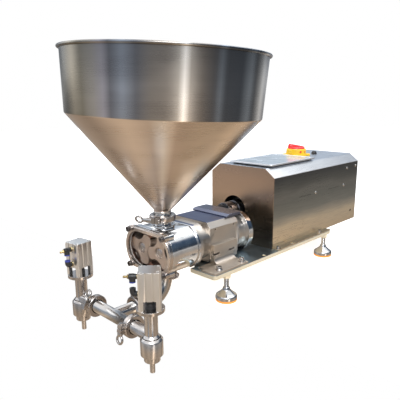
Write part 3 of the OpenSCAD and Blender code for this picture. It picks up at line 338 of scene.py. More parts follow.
# each inner corner of an outline becomes a short curve: a quadratic blend of a point just before it,
# the corner and a point just after it
def eased(outline, radius, steps=5):
    p = np.asarray(outline, float)
    back, ahead = p[:-2] - p[1:-1], p[2:] - p[1:-1]
    backLong, aheadLong = (np.linalg.norm(v, axis=1, keepdims=True) for v in (back, ahead))
    cut = np.minimum(radius, 0.48 * np.minimum(backLong, aheadLong))
    first, last = p[1:-1] + back / backLong * cut, p[1:-1] + ahead / aheadLong * cut
    t = np.linspace(0, 1, steps)[None, :, None]
    curve = (1 - t) ** 2 * first[:, None] + 2 * t * (1 - t) * p[1:-1, None] + t ** 2 * last[:, None]
    return np.vstack([p[:1], curve.reshape(-1, p.shape[1]), p[-1:]])


# a profile of (radius, height) in mm carried round Z: x = r cos a, y = r sin a, z = h
def turned(profile, steps=64):
    p = np.asarray(profile, float) * mm
    a = np.linspace(0, tau, steps, endpoint=False)
    return np.stack([np.outer(p[:, 0], np.cos(a)), np.outer(p[:, 0], np.sin(a)),
                     np.repeat(p[:, 1:2], steps, 1)], -1)


# a screw thread on a bar along Z: the radius swings with height and turns once a pitch
def threaded(radius, depth, pitch, low, high, steps=36):
    h = np.linspace(low, high, max(8, int((high - low) / pitch * 8)))[:, None]
    a = np.linspace(0, tau, steps, endpoint=False)[None, :]
    swing = np.abs(((h / pitch - a / tau) % 1) - 0.5) * 2
    r = (radius - depth * swing) * mm
    bar = np.stack([r * np.cos(a), r * np.sin(a), np.broadcast_to(h * mm, r.shape)], -1)
    ends = [np.zeros((1, steps, 3)) + np.array([0, 0, z * mm]) for z in (low, high)]
    return np.concatenate([ends[0], bar, ends[1]])


# a round tube along a flat path; bend is the direction square to the path's plane
def piped(path, radii, bend, steps=32):
    p = np.asarray(path, float)
    along = np.gradient(p, axis=0)
    along /= np.linalg.norm(along, axis=1, keepdims=True)
    across = np.broadcast_to(np.asarray(bend, float), p.shape)
    third = np.cross(along, across)
    a = np.linspace(0, tau, steps, endpoint=False)[None, :, None]
    r = np.broadcast_to(np.asarray(radii, float), (len(p),))[:, None, None]
    ring = p[:, None] + r * (np.cos(a) * across[:, None] + np.sin(a) * third[:, None])
    return ring * mm


# a box with rounded upright edges and eased top: a superellipse outline shrunk along a profile
def rounded(width, length, corner, profile, steps=96):
    a = np.linspace(0, tau, steps, endpoint=False)
    power = 2 / corner
    x = np.sign(np.cos(a)) * np.abs(np.cos(a)) ** power * width / 2
    y = np.sign(np.sin(a)) * np.abs(np.sin(a)) ** power * length / 2
    p = np.asarray(profile, float)
    grow = p[:, 0:1]
    sx, sy = 1 + grow / (width / 2), 1 + grow / (length / 2)
    return np.stack([x[None] * sx, y[None] * sy, np.repeat(p[:, 1:2], steps, 1)], -1) * mm


# moves a grid: its own Z goes to axis after a turn about it, then to place (mm)
def put(grid, place, axis=(0, 0, 1), turn=0.0):
    spin = Vector((0, 0, 1)).rotation_difference(Vector(axis)).to_matrix()
    both = np.array(spin @ Matrix.Rotation(turn, 3, "Z"))
    return grid @ both.T + np.asarray(place, float) * mm


# a CAD node's copy with its flat faces joined and its edges eased by width (mm)
def edgeEased(node, width, material, segments=2, angle=38):
    limit = math.radians(angle)
    source = nodes[node]
    mesh = source.data.copy()
    mesh.name = node + "_eased"
    work = bmesh.new()
    work.from_mesh(mesh)
    bmesh.ops.remove_doubles(work, verts=work.verts, dist=2e-6)
    bmesh.ops.dissolve_limit(work, angle_limit=math.radians(0.6), verts=work.verts, edges=work.edges)
    # only outward edges are eased, so a moving piece keeps its room inside
    weight = work.edges.layers.float.new("bevel_weight_edge")
    for edge in work.edges:
        if len(edge.link_faces) == 2 and edge.is_convex and edge.calc_face_angle() > limit:
            edge[weight] = 1.0
    work.to_mesh(mesh)
    work.free()
    mesh.materials.clear()
    mesh.materials.append(material)
    mesh.shade_smooth()
    mesh.set_sharp_from_angle(angle=limit)
    piece = bpy.data.objects.new(node + "_eased", mesh)
    bpy.context.scene.collection.objects.link(piece)
    bevel = piece.modifiers.new("edges", "BEVEL")
    bevel.width = width * mm
    bevel.segments = segments
    bevel.limit_method = "WEIGHT"
    bevel.use_clamp_overlap = False
    bevel.harden_normals = True
    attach(piece, source["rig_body"])
    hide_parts(node)
    return piece


# the finishes of this machine

leanX, leanY = math.radians(2.63), math.radians(1.45)
hopperAxis = tuple(Matrix.Rotation(leanX, 3, "Y") @ Matrix.Rotation(-leanY, 3, "X") @ Vector((0, 0, 1)))
hopper = {
    "base": (0.0, -0.299, 0.153),  # where the cone meets the tube
    "axis": hopperAxis,
    "tube": 19.85,                 # outer radii and heights in mm
    "seamRadius": 215.3,
    "topRadius": 222.0,
    "rim": 3.4,
    "coneHeight": 218.0,
    "height": 352.0,
    "wall": 1.5,
    "seam": 0.218,
    "rough": 0.24,
    # painted reflections: the light and dark tone at parts of a turn about the axis, 0 at the back left
    "paintedWallReflections": [(0.00, (0.42, 0.43, 0.45)), (0.125, (0.30, 0.31, 0.33)), (0.168, (0.40, 0.42, 0.44)),
                  (0.190, (0.12, 0.12, 0.10)), (0.215, (0.16, 0.15, 0.12)), (0.240, (0.50, 0.44, 0.34)),
                  (0.262, (0.30, 0.27, 0.21)), (0.285, (0.50, 0.47, 0.43)), (0.302, (0.62, 0.60, 0.66)),
                  (0.313, (0.30, 0.31, 0.35)), (0.330, (0.52, 0.58, 0.68)), (0.349, (0.24, 0.25, 0.28)),
                  (0.369, (0.38, 0.35, 0.32)), (0.388, (0.48, 0.44, 0.40)), (0.403, (0.58, 0.56, 0.52)),
                  (0.410, (1.0, 1.0, 0.98)), (0.418, (0.46, 0.44, 0.41)), (0.434, (0.32, 0.30, 0.28)),
                  (0.452, (0.20, 0.21, 0.23)), (0.460, (0.34, 0.40, 0.48)), (0.470, (0.13, 0.15, 0.18)),
                  (0.498, (0.11, 0.13, 0.16)), (0.5175, (0.42, 0.49, 0.57)), (0.530, (0.18, 0.20, 0.23)),
                  (0.557, (0.86, 0.88, 0.88)), (0.575, (0.20, 0.21, 0.23)), (0.64, (0.40, 0.41, 0.43)),
                  (0.76, (0.60, 0.60, 0.59)), (0.88, (0.44, 0.44, 0.45)), (1.00, (0.42, 0.43, 0.45))],
    "paintedConeReflections": [(0.00, (0.58, 0.50, 0.44)), (0.11, (0.40, 0.35, 0.32)), (0.15, (0.50, 0.42, 0.37)),
                  (0.20, (0.76, 0.65, 0.57)), (0.27, (0.62, 0.53, 0.47)), (0.33, (0.80, 0.70, 0.62)),
                  (0.365, (0.68, 0.59, 0.53)), (0.385, (0.92, 0.86, 0.80)), (0.405, (0.62, 0.52, 0.45)),
                  (0.45, (0.86, 0.73, 0.60)), (0.50, (0.92, 0.78, 0.64)), (0.55, (0.64, 0.55, 0.48)),
                  (0.60, (0.40, 0.35, 0.32)), (0.66, (0.50, 0.44, 0.40)), (0.80, (0.74, 0.65, 0.57)),
                  (1.00, (0.58, 0.50, 0.44))],
}
# painted reflections of the side: warm at the foot, dark higher up, a painted highlight on the sloping edge
# and a blue-grey top
sideSheet = {"low": 0.01, "high": 0.224, "slope": 0.2016, "rough": 0.25,
             "paintedLightTones": [(0.0, (1.0, 0.84, 0.62)), (0.24, (1.0, 0.88, 0.68)), (0.32, (0.66, 0.62, 0.53)),
                       (0.40, (0.40, 0.41, 0.38)), (0.55, (0.30, 0.31, 0.29)), (0.65, (0.31, 0.31, 0.29)),
                       (0.74, (0.19, 0.195, 0.185)), (0.84, (0.13, 0.135, 0.135)),
                       (0.890, (0.11, 0.115, 0.12)), (0.897, (1.0, 1.0, 1.0)),
                       (0.985, (0.96, 0.98, 1.0)), (1.0, (0.70, 0.76, 0.84))]}
# painted reflections of the front: dark low down, warm and brown above
frontSheet = {"low": 0.01, "high": 0.224, "slope": 0.2016, "rough": 0.22,
              "paintedLightTones": [(0.0, (0.30, 0.25, 0.20)), (0.25, (0.23, 0.19, 0.15)), (0.45, (0.37, 0.28, 0.20)),
                        (0.60, (0.58, 0.41, 0.29)), (0.85, (0.56, 0.39, 0.28)), (1.0, (0.47, 0.34, 0.26))]}

pumpChamber = {"spread": 0.031, "height": 0.063, "reach": 0.0455, "back": -0.2575, "dull": 0.22}

steelSpun = spunSteel("spun_steel", hopper)
steelSide = sheetSteel("case_side_steel", sideSheet)
steelFront = sheetSteel("case_front_steel", frontSheet)
steelPump = chamberSteel("pump_steel", (0.80, 0.80, 0.80), (0.62, 0.62, 0.63), (0.34, 0.20, 0.15), 0.12)
steelRing = metal("cover_ring_steel", (0.70, 0.64, 0.59), (0.52, 0.46, 0.43), 0.18, (20, 20, 20), 0.3)
steelTube = metal("tube_steel", (0.70, 0.68, 0.66), (0.46, 0.44, 0.42), 0.17, (20, 20, 20), 0.3)
steelClamp = metal("clamp_steel", (0.54, 0.50, 0.47), (0.32, 0.29, 0.28), 0.22, (20, 20, 20), 0.4)
steelValve = metal("valve_steel", (0.64, 0.61, 0.59), (0.42, 0.39, 0.37), 0.22, (2, 2, 40), 0.4, 0.03)
steelRotor = metal("rotor_steel", (0.84, 0.74, 0.66), (0.62, 0.53, 0.48), 0.30, (30, 2, 30), 0.4)
steelGearbox = metal("gearbox_steel", (0.66, 0.61, 0.55), (0.50, 0.46, 0.42), 0.36, (4, 40, 40), 0.4)
# painted reflection: the gearbox's top is painted dark blue
paintReflectionAbove(steelGearbox, 0.1128, (0.10, 0.12, 0.20), 0.0)
steelSlate = metal("slate_steel", (0.20, 0.22, 0.30), (0.13, 0.14, 0.20), 0.24, (4, 40, 40), 0.4)
steelBracket = metal("bracket_steel", (0.76, 0.68, 0.59), (0.58, 0.52, 0.46), 0.40, (40, 3, 40), 0.4)
steelPlate = metal("plate_steel", (0.86, 0.78, 0.60), (0.74, 0.66, 0.50), 0.30, (3, 40, 40), 0.5)
# painted reflection: the plate's top is painted blue-grey; below it the plate is less metallic
paintReflectionAbove(steelPlate, 0.0098, (0.46, 0.56, 0.62), 0.45)
steelGround = metal("ground_steel", (0.70, 0.70, 0.70), (0.52, 0.52, 0.53), 0.18, (60, 2, 60), 0.3)
steelHub = metal("hub_steel", (0.40, 0.40, 0.42), (0.22, 0.22, 0.24), 0.26, (60, 2, 60), 0.3)
steelBolt = metal("bolt_steel", (0.62, 0.60, 0.58), (0.36, 0.34, 0.33), 0.22, (50, 50, 50), 0.3)
steelDark = metal("dark_bolt_steel", (0.30, 0.28, 0.28), (0.14, 0.13, 0.13), 0.24, (50, 50, 50), 0.3)
steelScrew = screwSteel("case_screw_steel", (0.62, 0.60, 0.58), 0.2238)
chrome = metal("chrome", (0.66, 0.67, 0.69), (0.50, 0.50, 0.51), 0.13, (20, 20, 20), 0.15, 0.01)
zinc = metal("zinc_plate", (0.62, 0.63, 0.64), (0.46, 0.47, 0.48), 0.30, (30, 30, 30), 0.4)
alloy = metal("anodised_alloy", (0.92, 0.91, 0.89), (0.76, 0.75, 0.73), 0.30, (60, 60, 2), 0.4, 0.04)
brass = metal("brass", (0.80, 0.66, 0.36), (0.60, 0.46, 0.22), 0.22, (40, 40, 40), 0.3)
bezelMetal = metal("bezel_alloy", (0.90, 0.92, 0.95), (0.80, 0.82, 0.85), 0.30, (50, 5, 50), 0.3)
coverClear = clearPlastic("clear_cover", (0.66, 0.56, 0.51))
rubberOrange = moulded("orange_rubber", (0.93, 0.34, 0.05), 0.52, 900.0, 0.15)
rubberBlack = moulded("black_rubber", (0.025, 0.025, 0.027), 0.45, 900.0, 0.12)
plasticBlack = moulded("black_plastic", (0.022, 0.023, 0.026), 0.32)
plasticBlue = moulded("blue_plastic", (0.03, 0.05, 0.30), 0.34)
plasticYellow = moulded("yellow_plastic", (0.95, 0.60, 0.02), 0.30, coat=0.3)
plasticRed = moulded("red_plastic", (0.80, 0.015, 0.02), 0.28, coat=0.3)
plasticOrange = moulded("orange_plastic", (0.90, 0.20, 0.02), 0.35)
plasticDriver = moulded("driver_plastic", (0.06, 0.065, 0.07), 0.5)
paintMotor = moulded("motor_paint", (0.02, 0.02, 0.022), 0.4, 600.0, 0.1)
gasketWhite = moulded("white_gasket", (0.82, 0.81, 0.78), 0.5)
screenGlass = moulded("screen_glass", (0.46, 0.54, 0.62), 0.22, 400.0, 0.0, coat=0.4)
print("materials made")

# CAD nodes: their finish, and how far their edges are eased (mm, 0 keeps the node)

finishes = {
    "base_plate": (steelPlate, "satin_plate", 0.5),
    "pump_case": (steelPump, "polished_steel", 0.4),
    "cover_ring": (steelRing, "polished_steel", 0.5),
    "pump_cover": (coverClear, "clear_cover", 0),
    "cover_bolts": (steelDark, "bolt_steel", 0.35),
    "rotor_left": (steelRotor, "rotor_steel", 0.5),
    "rotor_right": (steelRotor, "rotor_steel", 0.5),
    "rotor_nut_left": (steelGround, "bolt_steel", 0),
    "rotor_nut_right": (steelGround, "bolt_steel", 0),
    "shaft_left": (steelGround, "ground_steel", 0),
    "shaft_right": (steelGround, "ground_steel", 0),
    "timing_gear_left": (steelGround, "ground_steel", 0),
    "timing_gear_right": (steelGround, "ground_steel", 0),
    "shaft_bearings": (steelGround, "ground_steel", 0),
    "gearbox_housing": (steelGearbox, "gearbox_steel", 0.5),
    "gearbox_top_cover": (steelSlate, "gearbox_steel", 0.6),
    "rear_flange": (steelPump, "polished_steel", 0.6),
    "oil_plug": (steelPump, "polished_steel", 0.5),
    "brackets": (steelBracket, "gearbox_steel", 0.5),
    "frame_bolts": (steelBolt, "bolt_steel", 0.35),
    "input_shaft": (steelGround, "ground_steel", 0),
    "coupling": (steelHub, "ground_steel", 0.5),
    "servo_motor": (paintMotor, "motor_black", 0),
    "motor_bracket": (zinc, "zinc_bracket", 0),
    "servo_driver": (plasticDriver, "driver_plastic", 0),
    "wrap_cover": (steelSide, "case_steel", 0),
    "front_panel": (steelFront, "case_steel", 0),
    "rear_panel": (steelSide, "case_steel", 0),
    "cover_screws": (steelScrew, "bolt_steel", 0),
    "outlet_elbow": (steelTube, "polished_steel", 0.3),
    "tee_manifold": (steelTube, "polished_steel", 0.3),
    "pipe_clamps": (steelClamp, "brushed_steel", 0.5),
    "gaskets": (gasketWhite, "white_gasket", 0),
    "valve_left": (steelValve, "polished_steel", 0.5),
    "valve_right": (steelValve, "polished_steel", 0.5),
    "actuator_left": (alloy, "anodised_cylinder", 0.4),
    "actuator_right": (alloy, "anodised_cylinder", 0.4),
    "valve_rod_left": (steelGround, "ground_steel", 0),
    "valve_rod_right": (steelGround, "ground_steel", 0),
    "rod_seals": (rubberBlack, "black_seal", 0),
    "touch_panel": (bezelMetal, "panel_glass", 0),
    "isolator_body": (plasticYellow, "yellow_plastic", 0),
    "isolator_handle": (plasticRed, "red_plastic", 0),
    "hopper": (steelSpun, "brushed_steel", 0),
}
for side in ("left", "right"):
    for end in ("front", "rear"):
        finishes[f"foot_{end}_{side}"] = (chrome, "chrome_foot", 0)
        finishes[f"pad_{end}_{side}"] = (rubberOrange, "orange_pad", 0)
    for level in ("upper", "lower"):
        finishes[f"fitting_{level}_{side}"] = (plasticBlack, "black_fitting", 0)
for place in ("hopper", "tee", "left", "right"):
    finishes["wing_nut_" + place] = (steelBolt, "bolt_steel", 0)

for node, (material, slot, ease) in finishes.items():
    if ease:
        edgeEased(node, ease, material)
    slots = nodes[node].data.materials
    slots.clear()
    slots.append(material)
print("CAD nodes finished")


# hopper: cone, cylinder and rolled rim in one closed shell about the leaning axis

def makeHopper():
    h = hopper
    rimAngle = np.linspace(math.radians(200), math.radians(-90), 22)
    rimRadius, rimHeight = h["topRadius"] + 2.1, h["height"] - h["rim"]
    bead = np.stack([rimRadius + h["rim"] * np.cos(rimAngle),
                     rimHeight + h["rim"] * np.sin(rimAngle)], -1)[::-1]
    outside = [[h["tube"], -4], [h["tube"], 0], [h["seamRadius"], h["coneHeight"]],
               [h["topRadius"], h["height"] - 2 * h["rim"]]]
    inside = [[h["topRadius"] - h["wall"], h["height"] - 3],
              [h["seamRadius"] - h["wall"], h["coneHeight"] + 0.5], [h["tube"] - 1.6, 1],
              [h["tube"] - 1.6, -2], [h["tube"] - 0.5, -4]]
    outline = np.vstack([eased(outside, 2.0), bead, eased(inside, 2.0)])
    shell = turned(outline, 192)
    tilt = np.array(Matrix.Rotation(leanX, 3, "Y") @ Matrix.Rotation(-leanY, 3, "X"))
    shell = shell @ tilt.T + np.array(h["base"])
    neckPlace = np.array(h["base"]) / mm
    neck = turned([[17.45, -17], [25.1, -17], [25.25, -16.8], [25.25, -14.6], [24.9, -14.2],
                   [19.4, -11.5], [19.05, -10.8], [19.05, 1], [17.45, 1]], 96)
    weldAngle = np.linspace(0, tau, 12, endpoint=False)
    weld = turned(np.stack([19.6 + 1.0 * np.cos(weldAngle), -3.2 + 1.2 * np.sin(weldAngle)], -1), 96)
    grids = [(shell, True, True, 0), (put(neck, neckPlace), True, True, 1),
             (put(weld, neckPlace), True, True, 1)]
    piece = surface("hopper_shell", grids, [steelSpun, steelTube], "frame")
    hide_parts("hopper")


makeHopper()
print("hopper made")

# wing nuts: a tapered neck that runs into a cast ring

wingNut = {"ring": 8.6, "thick": 2.4,
           "centre": {"hopper": 33.0, "tee": 15.0, "left": 15.0, "right": 15.0},
           "bore": {"hopper": 12.0, "tee": 7.0, "left": 7.0, "right": 7.0}}


def makeWingNut(place, joint):
    w = wingNut
    centre, deep = w["centre"][place], w["bore"][place]
    u = np.linspace(0, tau, 40, endpoint=False)[:, None]
    v = np.linspace(0, tau, 16, endpoint=False)[None, :]
    out = w["ring"] + w["thick"] * np.cos(v)
    ring = np.stack([out * np.cos(u), 1.15 * w["thick"] * np.sin(v) + 0 * u,
                     centre + out * np.sin(u)], -1) * mm
    top = centre - w["ring"] + w["thick"] * 0.6
    neck = turned(eased([[3.1, 0], [6.2, 0], [6.4, 0.6], [6.4, 0.45 * top], [5.4, 0.62 * top],
                         [4.4, 0.9 * top], [3.6, top], [0, top]], 1.0), 40)
    bore = turned([[3.1, 0], [3.1, deep - 0.5], [0, deep - 0.5]], 40)
    at, axis = Vector(joint["pos_m"]) / mm, joint["axis"]
    grids = [(put(g, at, axis), *wrap, 0) for g, wrap in
             ((ring, (True, True)), (neck, (False, True)), (bore, (False, True)))]
    piece = surface("wing_nut_" + place + "_cast", grids, [steelBolt], joint["child"])
    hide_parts("wing_nut_" + place)


joints = {j["name"]: j for j in frame["joints"]}
for place in ("hopper", "tee", "left", "right"):
    makeWingNut(place, joints[f"wing_{place}_turn"])

# levelling feet: a threaded stem, a lock nut, a bell and a disc, over a soft pad

foot = {"ground": -67.0, "radius": 26.5, "stem": 5.9, "thread": 0.45, "pitch": 1.75, "top": 7.4}


def makeFoot(end, side):
    low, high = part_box(f"foot_{end}_{side}")
    x, y = (low.x + high.x) / 2 / mm, (low.y + high.y) / 2 / mm
    g, r = foot["ground"], foot["radius"]
    bell = eased([[0, g + 5], [r - 1, g + 5], [r, g + 6.2], [r, g + 12.6], [r - 1.4, g + 15.2],
                  [19.5, g + 19.0], [13.2, g + 24.5], [9.6, g + 28.2],
                  [8.8, g + 32], [7.6, g + 34.5], [0, g + 34.5]], 1.4)
    stem = threaded(foot["stem"], foot["thread"], foot["pitch"], g + 34, foot["top"])
    piece = surface(f"foot_{end}_{side}_turned", [(put(turned(bell, 72), (x, y, 0)), False, True, 0),
                    (put(stem, (x, y, 0)), False, True, 1)], [chrome, steelGround],
                    f"level_{end}_{side}", 45)
    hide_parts(f"foot_{end}_{side}")
    pad = eased([[0, g], [20.5, g], [21.5, g + 0.5], [22.4, g], [r - 1.6, g], [r - 0.5, g + 1.4],
                 [r - 0.5, g + 5], [r - 1.2, g + 5.2], [0, g + 5.2]], 0.8)
    sole = surface(f"pad_{end}_{side}_moulded", [(put(turned(pad, 72), (x, y, 0)), False, True, 0)],
                   [rubberOrange], f"level_{end}_{side}")
    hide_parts(f"pad_{end}_{side}")


for end in ("front", "rear"):
    for side in ("left", "right"):
        makeFoot(end, side)
print("wing nuts and feet made")

# air fittings: a black elbow with a release ring; the upper ones have a brass needle

fitting = {"body": 6.3, "reach": 11.0, "bend": 5.0, "drop": 12.5}


def makeFitting(level, side):
    joint = joints[f"fitting_{level}_{side}_swivel"]
    way = -1 if level == "upper" else 1
    out = Vector(joint["axis"])
    f = fitting
    start = Vector(joint["pos_m"]) / mm
    across = out.cross(Vector((0, 0, 1)))
    t = np.linspace(0, math.pi / 2, 10)
    straight = np.linspace(1.2, f["reach"] - f["bend"], 4)
    bent = np.stack([f["reach"] - f["bend"] + f["bend"] * np.sin(t), f["bend"] * (1 - np.cos(t))], -1)
    down = np.linspace(f["bend"] + 1, f["drop"] - 2.4, 5)
    flat = np.vstack([np.stack([straight[:-1], 0 * straight[:-1]], -1), bent,
                      np.stack([0 * down + f["reach"], down], -1)])
    path = flat[:, :1] * np.array(out) + flat[:, 1:] * np.array([0, 0, way]) + np.array(start)
    last = len(path) - 1
    radii = np.interp(np.arange(len(path)), [0, 1, 4, last - 2, last], [4.9, 5.3, 5.9, 6.3, 6.3])
    tube = piped(path, radii, across)
    caps = [np.broadcast_to(np.array(path[i])[None, None] * mm, (1, tube.shape[1], 3)) for i in (0, -1)]
    body = np.concatenate([caps[0], tube, caps[1]])
    port = start + out * f["reach"]
    ringLow = f["drop"] - 2.4
    ring = eased([[0, ringLow - 1], [6.3, ringLow - 1], [6.3, ringLow + 0.5], [6.5, ringLow + 0.9],
                  [6.5, f["drop"] - 0.5], [5.2, f["drop"]], [3.3, f["drop"]], [3.1, f["drop"] - 0.6],
                  [3.1, ringLow], [0, ringLow]], 0.4)
    ring = put(turned(ring, 40), port, (0, 0, way))
    stem = put(turned([[0, -4], [4.6, -4], [4.6, 0], [6.0, 0.05], [6.0, 1.6], [4.9, 1.9],
                       [0, 1.9]], 36), start, out)
    grids = [(body, False, True, 0), (ring, False, True, 1), (stem, False, True, 2)]
    if level == "upper":
        knob = put(turned(eased([[0, 15], [6.0, 15], [6.2, 15.4], [6.2, 17.4], [5.4, 18], [0, 18]],
                                0.5), 40), start, out)
        needle = put(threaded(2.5, 0.35, 0.9, 17.5, 29, 20), start, out)
        nut = put(turned(eased([[0, 18.2], [4.2, 18.2], [4.4, 18.6], [4.4, 20.8], [4.1, 21.2],
                                [0, 21.2]], 0.3), 6), start, out)
        barrel = put(turned(eased([[0, 8], [6.2, 8], [6.2, 15.2], [0, 15.2]], 0.3), 40), start, out)
        grids += [(barrel, False, True, 0), (knob, False, True, 0),
                  (needle, False, True, 2), (nut, False, True, 2)]
    ringColour = plasticBlue if level == "upper" or side == "left" else plasticBlack
    piece = surface(f"fitting_{level}_{side}_moulded", grids, [plasticBlack, ringColour, brass],
                    joint["child"], 40)
    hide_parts(f"fitting_{level}_{side}")


for level in ("upper", "lower"):
    for side in ("left", "right"):
        makeFitting(level, side)
print("fittings made")

# touch panel: a light frame round dark glass, on a black seal

panel = {"centre": (12.0, 116.5), "width": 148.0, "length": 219.0, "deck": 224.0, "corner": 26}


def makePanel():
    x, y = panel["centre"]
    z = panel["deck"]
    w, l, c = panel["width"], panel["length"], panel["corner"]
    frameRing = rounded(w, l, c, eased([[-9, 4], [-0.6, 4], [0, 4.6], [0, 7.2], [-0.8, 8], [-7.6, 8],
                                        [-8.0, 7.4], [-9, 7.4], [-9, 4.1]], 0.4), 160)
    glass = rounded(w, l, c, [[-w / 2, 5], [-7.9, 5], [-7.9, 7.45], [-w / 2, 7.45]], 160)
    seal = rounded(w, l, c, [[-w / 2, 0], [-7, 0], [-7, 4.2], [-w / 2, 4.2]], 160)
    for name, grid, material, slot in (("panel_frame", frameRing, bezelMetal, "panel_glass"),
                                       ("panel_glass", glass, screenGlass, "panel_glass"),
                                       ("panel_seal", seal, rubberBlack, "panel_glass")):
        piece = surface(name, [(put(grid, (x, y, z)), False, True, 0)], [material], "frame")
        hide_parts("touch_panel")


makePanel()

# isolator: a yellow plate and collar with two windows, and a red grip

isolator = {"centre": (-14.0, 274.0), "deck": 224.0, "plate": 65.0, "collar": 31.5, "disc": 26.0,
            "gripLength": 52.0, "gripWidth": 18.0, "gripTurn": 45, "slope": 10.0, "windows": (-30, 0)}


def makeIsolator():
    x, y = isolator["centre"]
    z = isolator["deck"]
    half, collarEdge, discEdge = isolator["plate"] / 2, isolator["collar"], isolator["disc"]
    plate = rounded(isolator["plate"], isolator["plate"], 22, eased(
        [[-half, 0], [0, 0], [0, 4.8], [-2.2, 7], [-half, 7]], 1.6), 128)
    collar = turned(eased([[0, 6], [collarEdge, 6], [31.2, 8.4], [30.4, 21], [28.8, 23], [6.2, 23.1],
                           [6.2, 14], [0, 14]], 1.2), 96)
    windows = []
    for a in isolator["windows"]:
        aside, ahead = math.cos(math.radians(a)), math.sin(math.radians(a))
        window = rounded(7, 5.4, 6, eased([[-2.7, 0], [0, 0], [0, 1.6], [-0.6, 2], [-2.7, 2]], 0.3), 32)
        windows.append(put(window, (x + 29.4 * aside, y + 29.4 * ahead, z + 14.5),
                           (aside, ahead, 0.06), math.pi / 2))
    grids = [(put(plate, (x, y, z)), False, True, 0), (put(collar, (x, y, z)), False, True, 0),
             (windows[0], False, True, 1), (windows[1], False, True, 2)]
    body = surface("isolator_housing", grids, [plasticYellow, plasticRed, plasticOrange], "frame")
    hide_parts("isolator_body")
    spindle = turned([[0, 13], [6, 13], [6, 25], [0, 25]], 48)
    disc = turned(eased([[0, 23.3], [discEdge - 0.4, 23.3], [discEdge, 23.8], [discEdge - 0.8, 26.6],
                         [discEdge - 5, 28], [0, 28.3]], 1.0), 96)
    t = np.linspace(0, 1, 12)[:, None]
    a = np.linspace(0, tau, 96, endpoint=False)[None, :]
    reach = isolator["gripLength"] / 2
    long, wide = reach - 4.0 * t ** 2, isolator["gripWidth"] / 2 - 2.2 * t ** 1.5
    power = 2 / 5
    gx = np.sign(np.cos(a)) * np.abs(np.cos(a)) ** power * long
    gy = np.sign(np.sin(a)) * np.abs(np.sin(a)) ** power * wide
    gz = 26.0 + 13.0 * t - (gx / reach * 0.5 + 0.5) * isolator["slope"] * t
    grip = np.stack([gx, gy, gz], -1) * mm
    low, crown = (np.broadcast_to([0, 0, gz[k].mean() * mm], (1, 96, 3)) for k in (0, -1))
    grip = np.concatenate([low, grip, crown])
    gripTurn = math.radians(isolator["gripTurn"])
    grids = [(put(spindle, (x, y, z)), False, True, 0), (put(disc, (x, y, z)), False, True, 0),
             (put(grip, (x, y, z), (0, 0, 1), gripTurn), False, True, 0)]
    handle = surface("isolator_grip", grids, [plasticRed], "isolator_knob", 40)
    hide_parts("isolator_handle")


makeIsolator()
print("panel and isolator made")

# studio

view = {"place": (0.7945, -0.9736, 0.4073), "azimuth": 45.04, "elevation": 13.03, "roll": -0.52,
        "lens": 41.27, "shift": (0.0041, 0.0086)}


def makeCamera():
    a, e, roll = (math.radians(view[k]) for k in ("azimuth", "elevation", "roll"))
    back = Vector((math.sin(a) * math.cos(e), -math.cos(a) * math.cos(e), math.sin(e)))
    right = (-back).cross(Vector((0, 0, 1))).normalized()
    up = right.cross(-back)
    x = right * math.cos(roll) + up * math.sin(roll)
    y = -right * math.sin(roll) + up * math.cos(roll)
    camera = bpy.data.cameras.new("camera")
    camera.lens = view["lens"]
    camera.sensor_width = 36
    camera.shift_x, camera.shift_y = view["shift"]
    camera.clip_start = 0.01
    holder = bpy.data.objects.new("camera", camera)
    turn = Matrix((x, y, back)).transposed().to_4x4()
    holder.matrix_world = Matrix.Translation(Vector(view["place"])) @ turn
    bpy.context.scene.collection.objects.link(holder)
    bpy.context.scene.camera = holder


def makeLight(name, place, target, size, power):
    light = bpy.data.lights.new(name, "AREA")
    light.shape = "RECTANGLE"
    light.size, light.size_y = size
    light.energy = power
    holder = bpy.data.objects.new(name, light)
    holder.location = place
    holder.rotation_euler = (Vector(target) - Vector(place)).to_track_quat("-Z", "Y").to_euler()
    bpy.context.scene.collection.objects.link(holder)


# brightness at parts of a turn about Z
roomBands = [(0.00, 0.30), (0.08, 0.60), (0.16, 0.40), (0.25, 0.95), (0.35, 0.50), (0.45, 0.80),
             (0.51, 0.45), (0.545, 0.70), (0.5705, 3.2), (0.595, 0.60), (0.65, 0.40),
             (0.70, 0.55), (0.77, 0.55), (0.84, 0.28), (0.91, 1.1), (1.00, 0.30)]


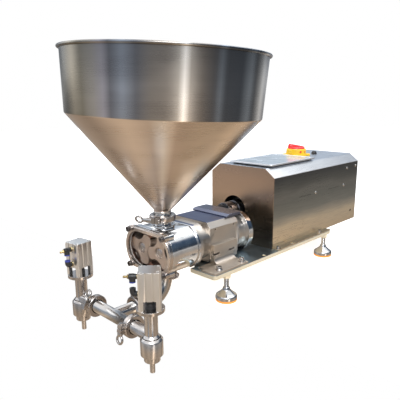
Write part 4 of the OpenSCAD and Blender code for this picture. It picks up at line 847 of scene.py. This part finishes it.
# white for the eye and for soft light; gloss sees a warm floor and a room of light and dark bands
def makeWorld():
    world = bpy.data.worlds.new("studio")
    bpy.context.scene.world = world
    world.use_nodes = True
    tree = world.node_tree
    wire = Wire(tree)
    way = wire.node("TexCoord", out=0)
    level = way.part(2) * 0.5 + 0.5
    height = level.ramp([(0.0, (0.74, 0.58, 0.42)), (0.30, (0.66, 0.54, 0.42)), (0.39, (0.54, 0.50, 0.46)),
                         (0.47, (0.42, 0.42, 0.43)), (0.50, (0.90, 0.90, 0.90)), (0.53, (0.36, 0.40, 0.46)),
                         (0.68, (0.40, 0.46, 0.54)), (0.77, (0.92, 0.95, 1.0)), (1.0, (1.0, 1.0, 1.0))])
    # towards +X and +Y the room is dark blue above the horizon
    night = level.ramp([(0.0, (0.80, 0.64, 0.48)), (0.34, (0.78, 0.62, 0.48)), (0.39, (0.56, 0.52, 0.48)),
                        (0.46, (0.64, 0.60, 0.56)), (0.495, (1.0, 1.0, 1.0)), (0.515, (0.05, 0.07, 0.10)),
                        (0.74, (0.04, 0.07, 0.12)), (0.77, (0.12, 0.15, 0.22)), (0.80, (0.95, 0.98, 1.0)),
                        (1.0, (1.0, 1.0, 1.0))])
    height = way.dot((0.83, 0.56, 0.0)).step(0.10, 0.70).mix(height, night)
    # the part of a turn about Z: 0.5 towards the camera, 0.75 to its right, 0 and 1 behind the machine
    turn = wire.maths("ARCTAN2", way.dot((0.707, 0.707, 0.0)), way.dot((0.707, -0.707, 0.0)))
    turnPart = turn / tau + 0.5
    tall = turnPart.ramp([(k, (v, v, v)) for k, v in roomBands])
    bands = level.step(0.54, 0.66).mix(tall, (1.0, 1.0, 1.0))
    room = height.tinted(bands)
    glossy = wire.node("LightPath", out=3)
    colour = glossy.mix((1.0, 1.0, 1.0), room)
    back = tree.nodes["Background"]
    wire.feed(back.inputs["Color"], colour)
    wire.feed(back.inputs["Strength"], glossy * 0.25 + 1.0)


def makeBench():
    size, front, ground = 6.0, -0.252, foot["ground"] * mm
    mesh = bpy.data.meshes.new("bench")
    corners = [(-size, front), (size, front), (size, size), (-size, size)]
    mesh.from_pydata([(x, y, ground) for x, y in corners], [], [(0, 1, 2, 3)])
    made, wire, shader, place = newMaterial("bench_top")
    shader.inputs["Base Color"].default_value = (0.96, 0.96, 0.96, 1)
    shader.inputs["Roughness"].default_value = 0.8
    shader.inputs["Emission Color"].default_value = (1, 1, 1, 1)
    shader.inputs["Emission Strength"].default_value = 0.6
    mesh.materials.append(made)
    bench = bpy.data.objects.new("bench", mesh)
    bench.visible_glossy = False
    bpy.context.scene.collection.objects.link(bench)


makeCamera()
makeWorld()
makeBench()
makeLight("key", (1.3, -1.3, 1.6), (0, -0.1, 0.15), (1.0, 1.0), 26)
makeLight("fill", (-1.6, -0.9, 1.0), (0, -0.1, 0.15), (1.2, 1.2), 5)
makeLight("top", (0.0, 0.5, 1.9), (0, 0, 0.1), (1.6, 1.6), 22)
bpy.context.scene.view_settings.view_transform = "Standard"
print("studio made")
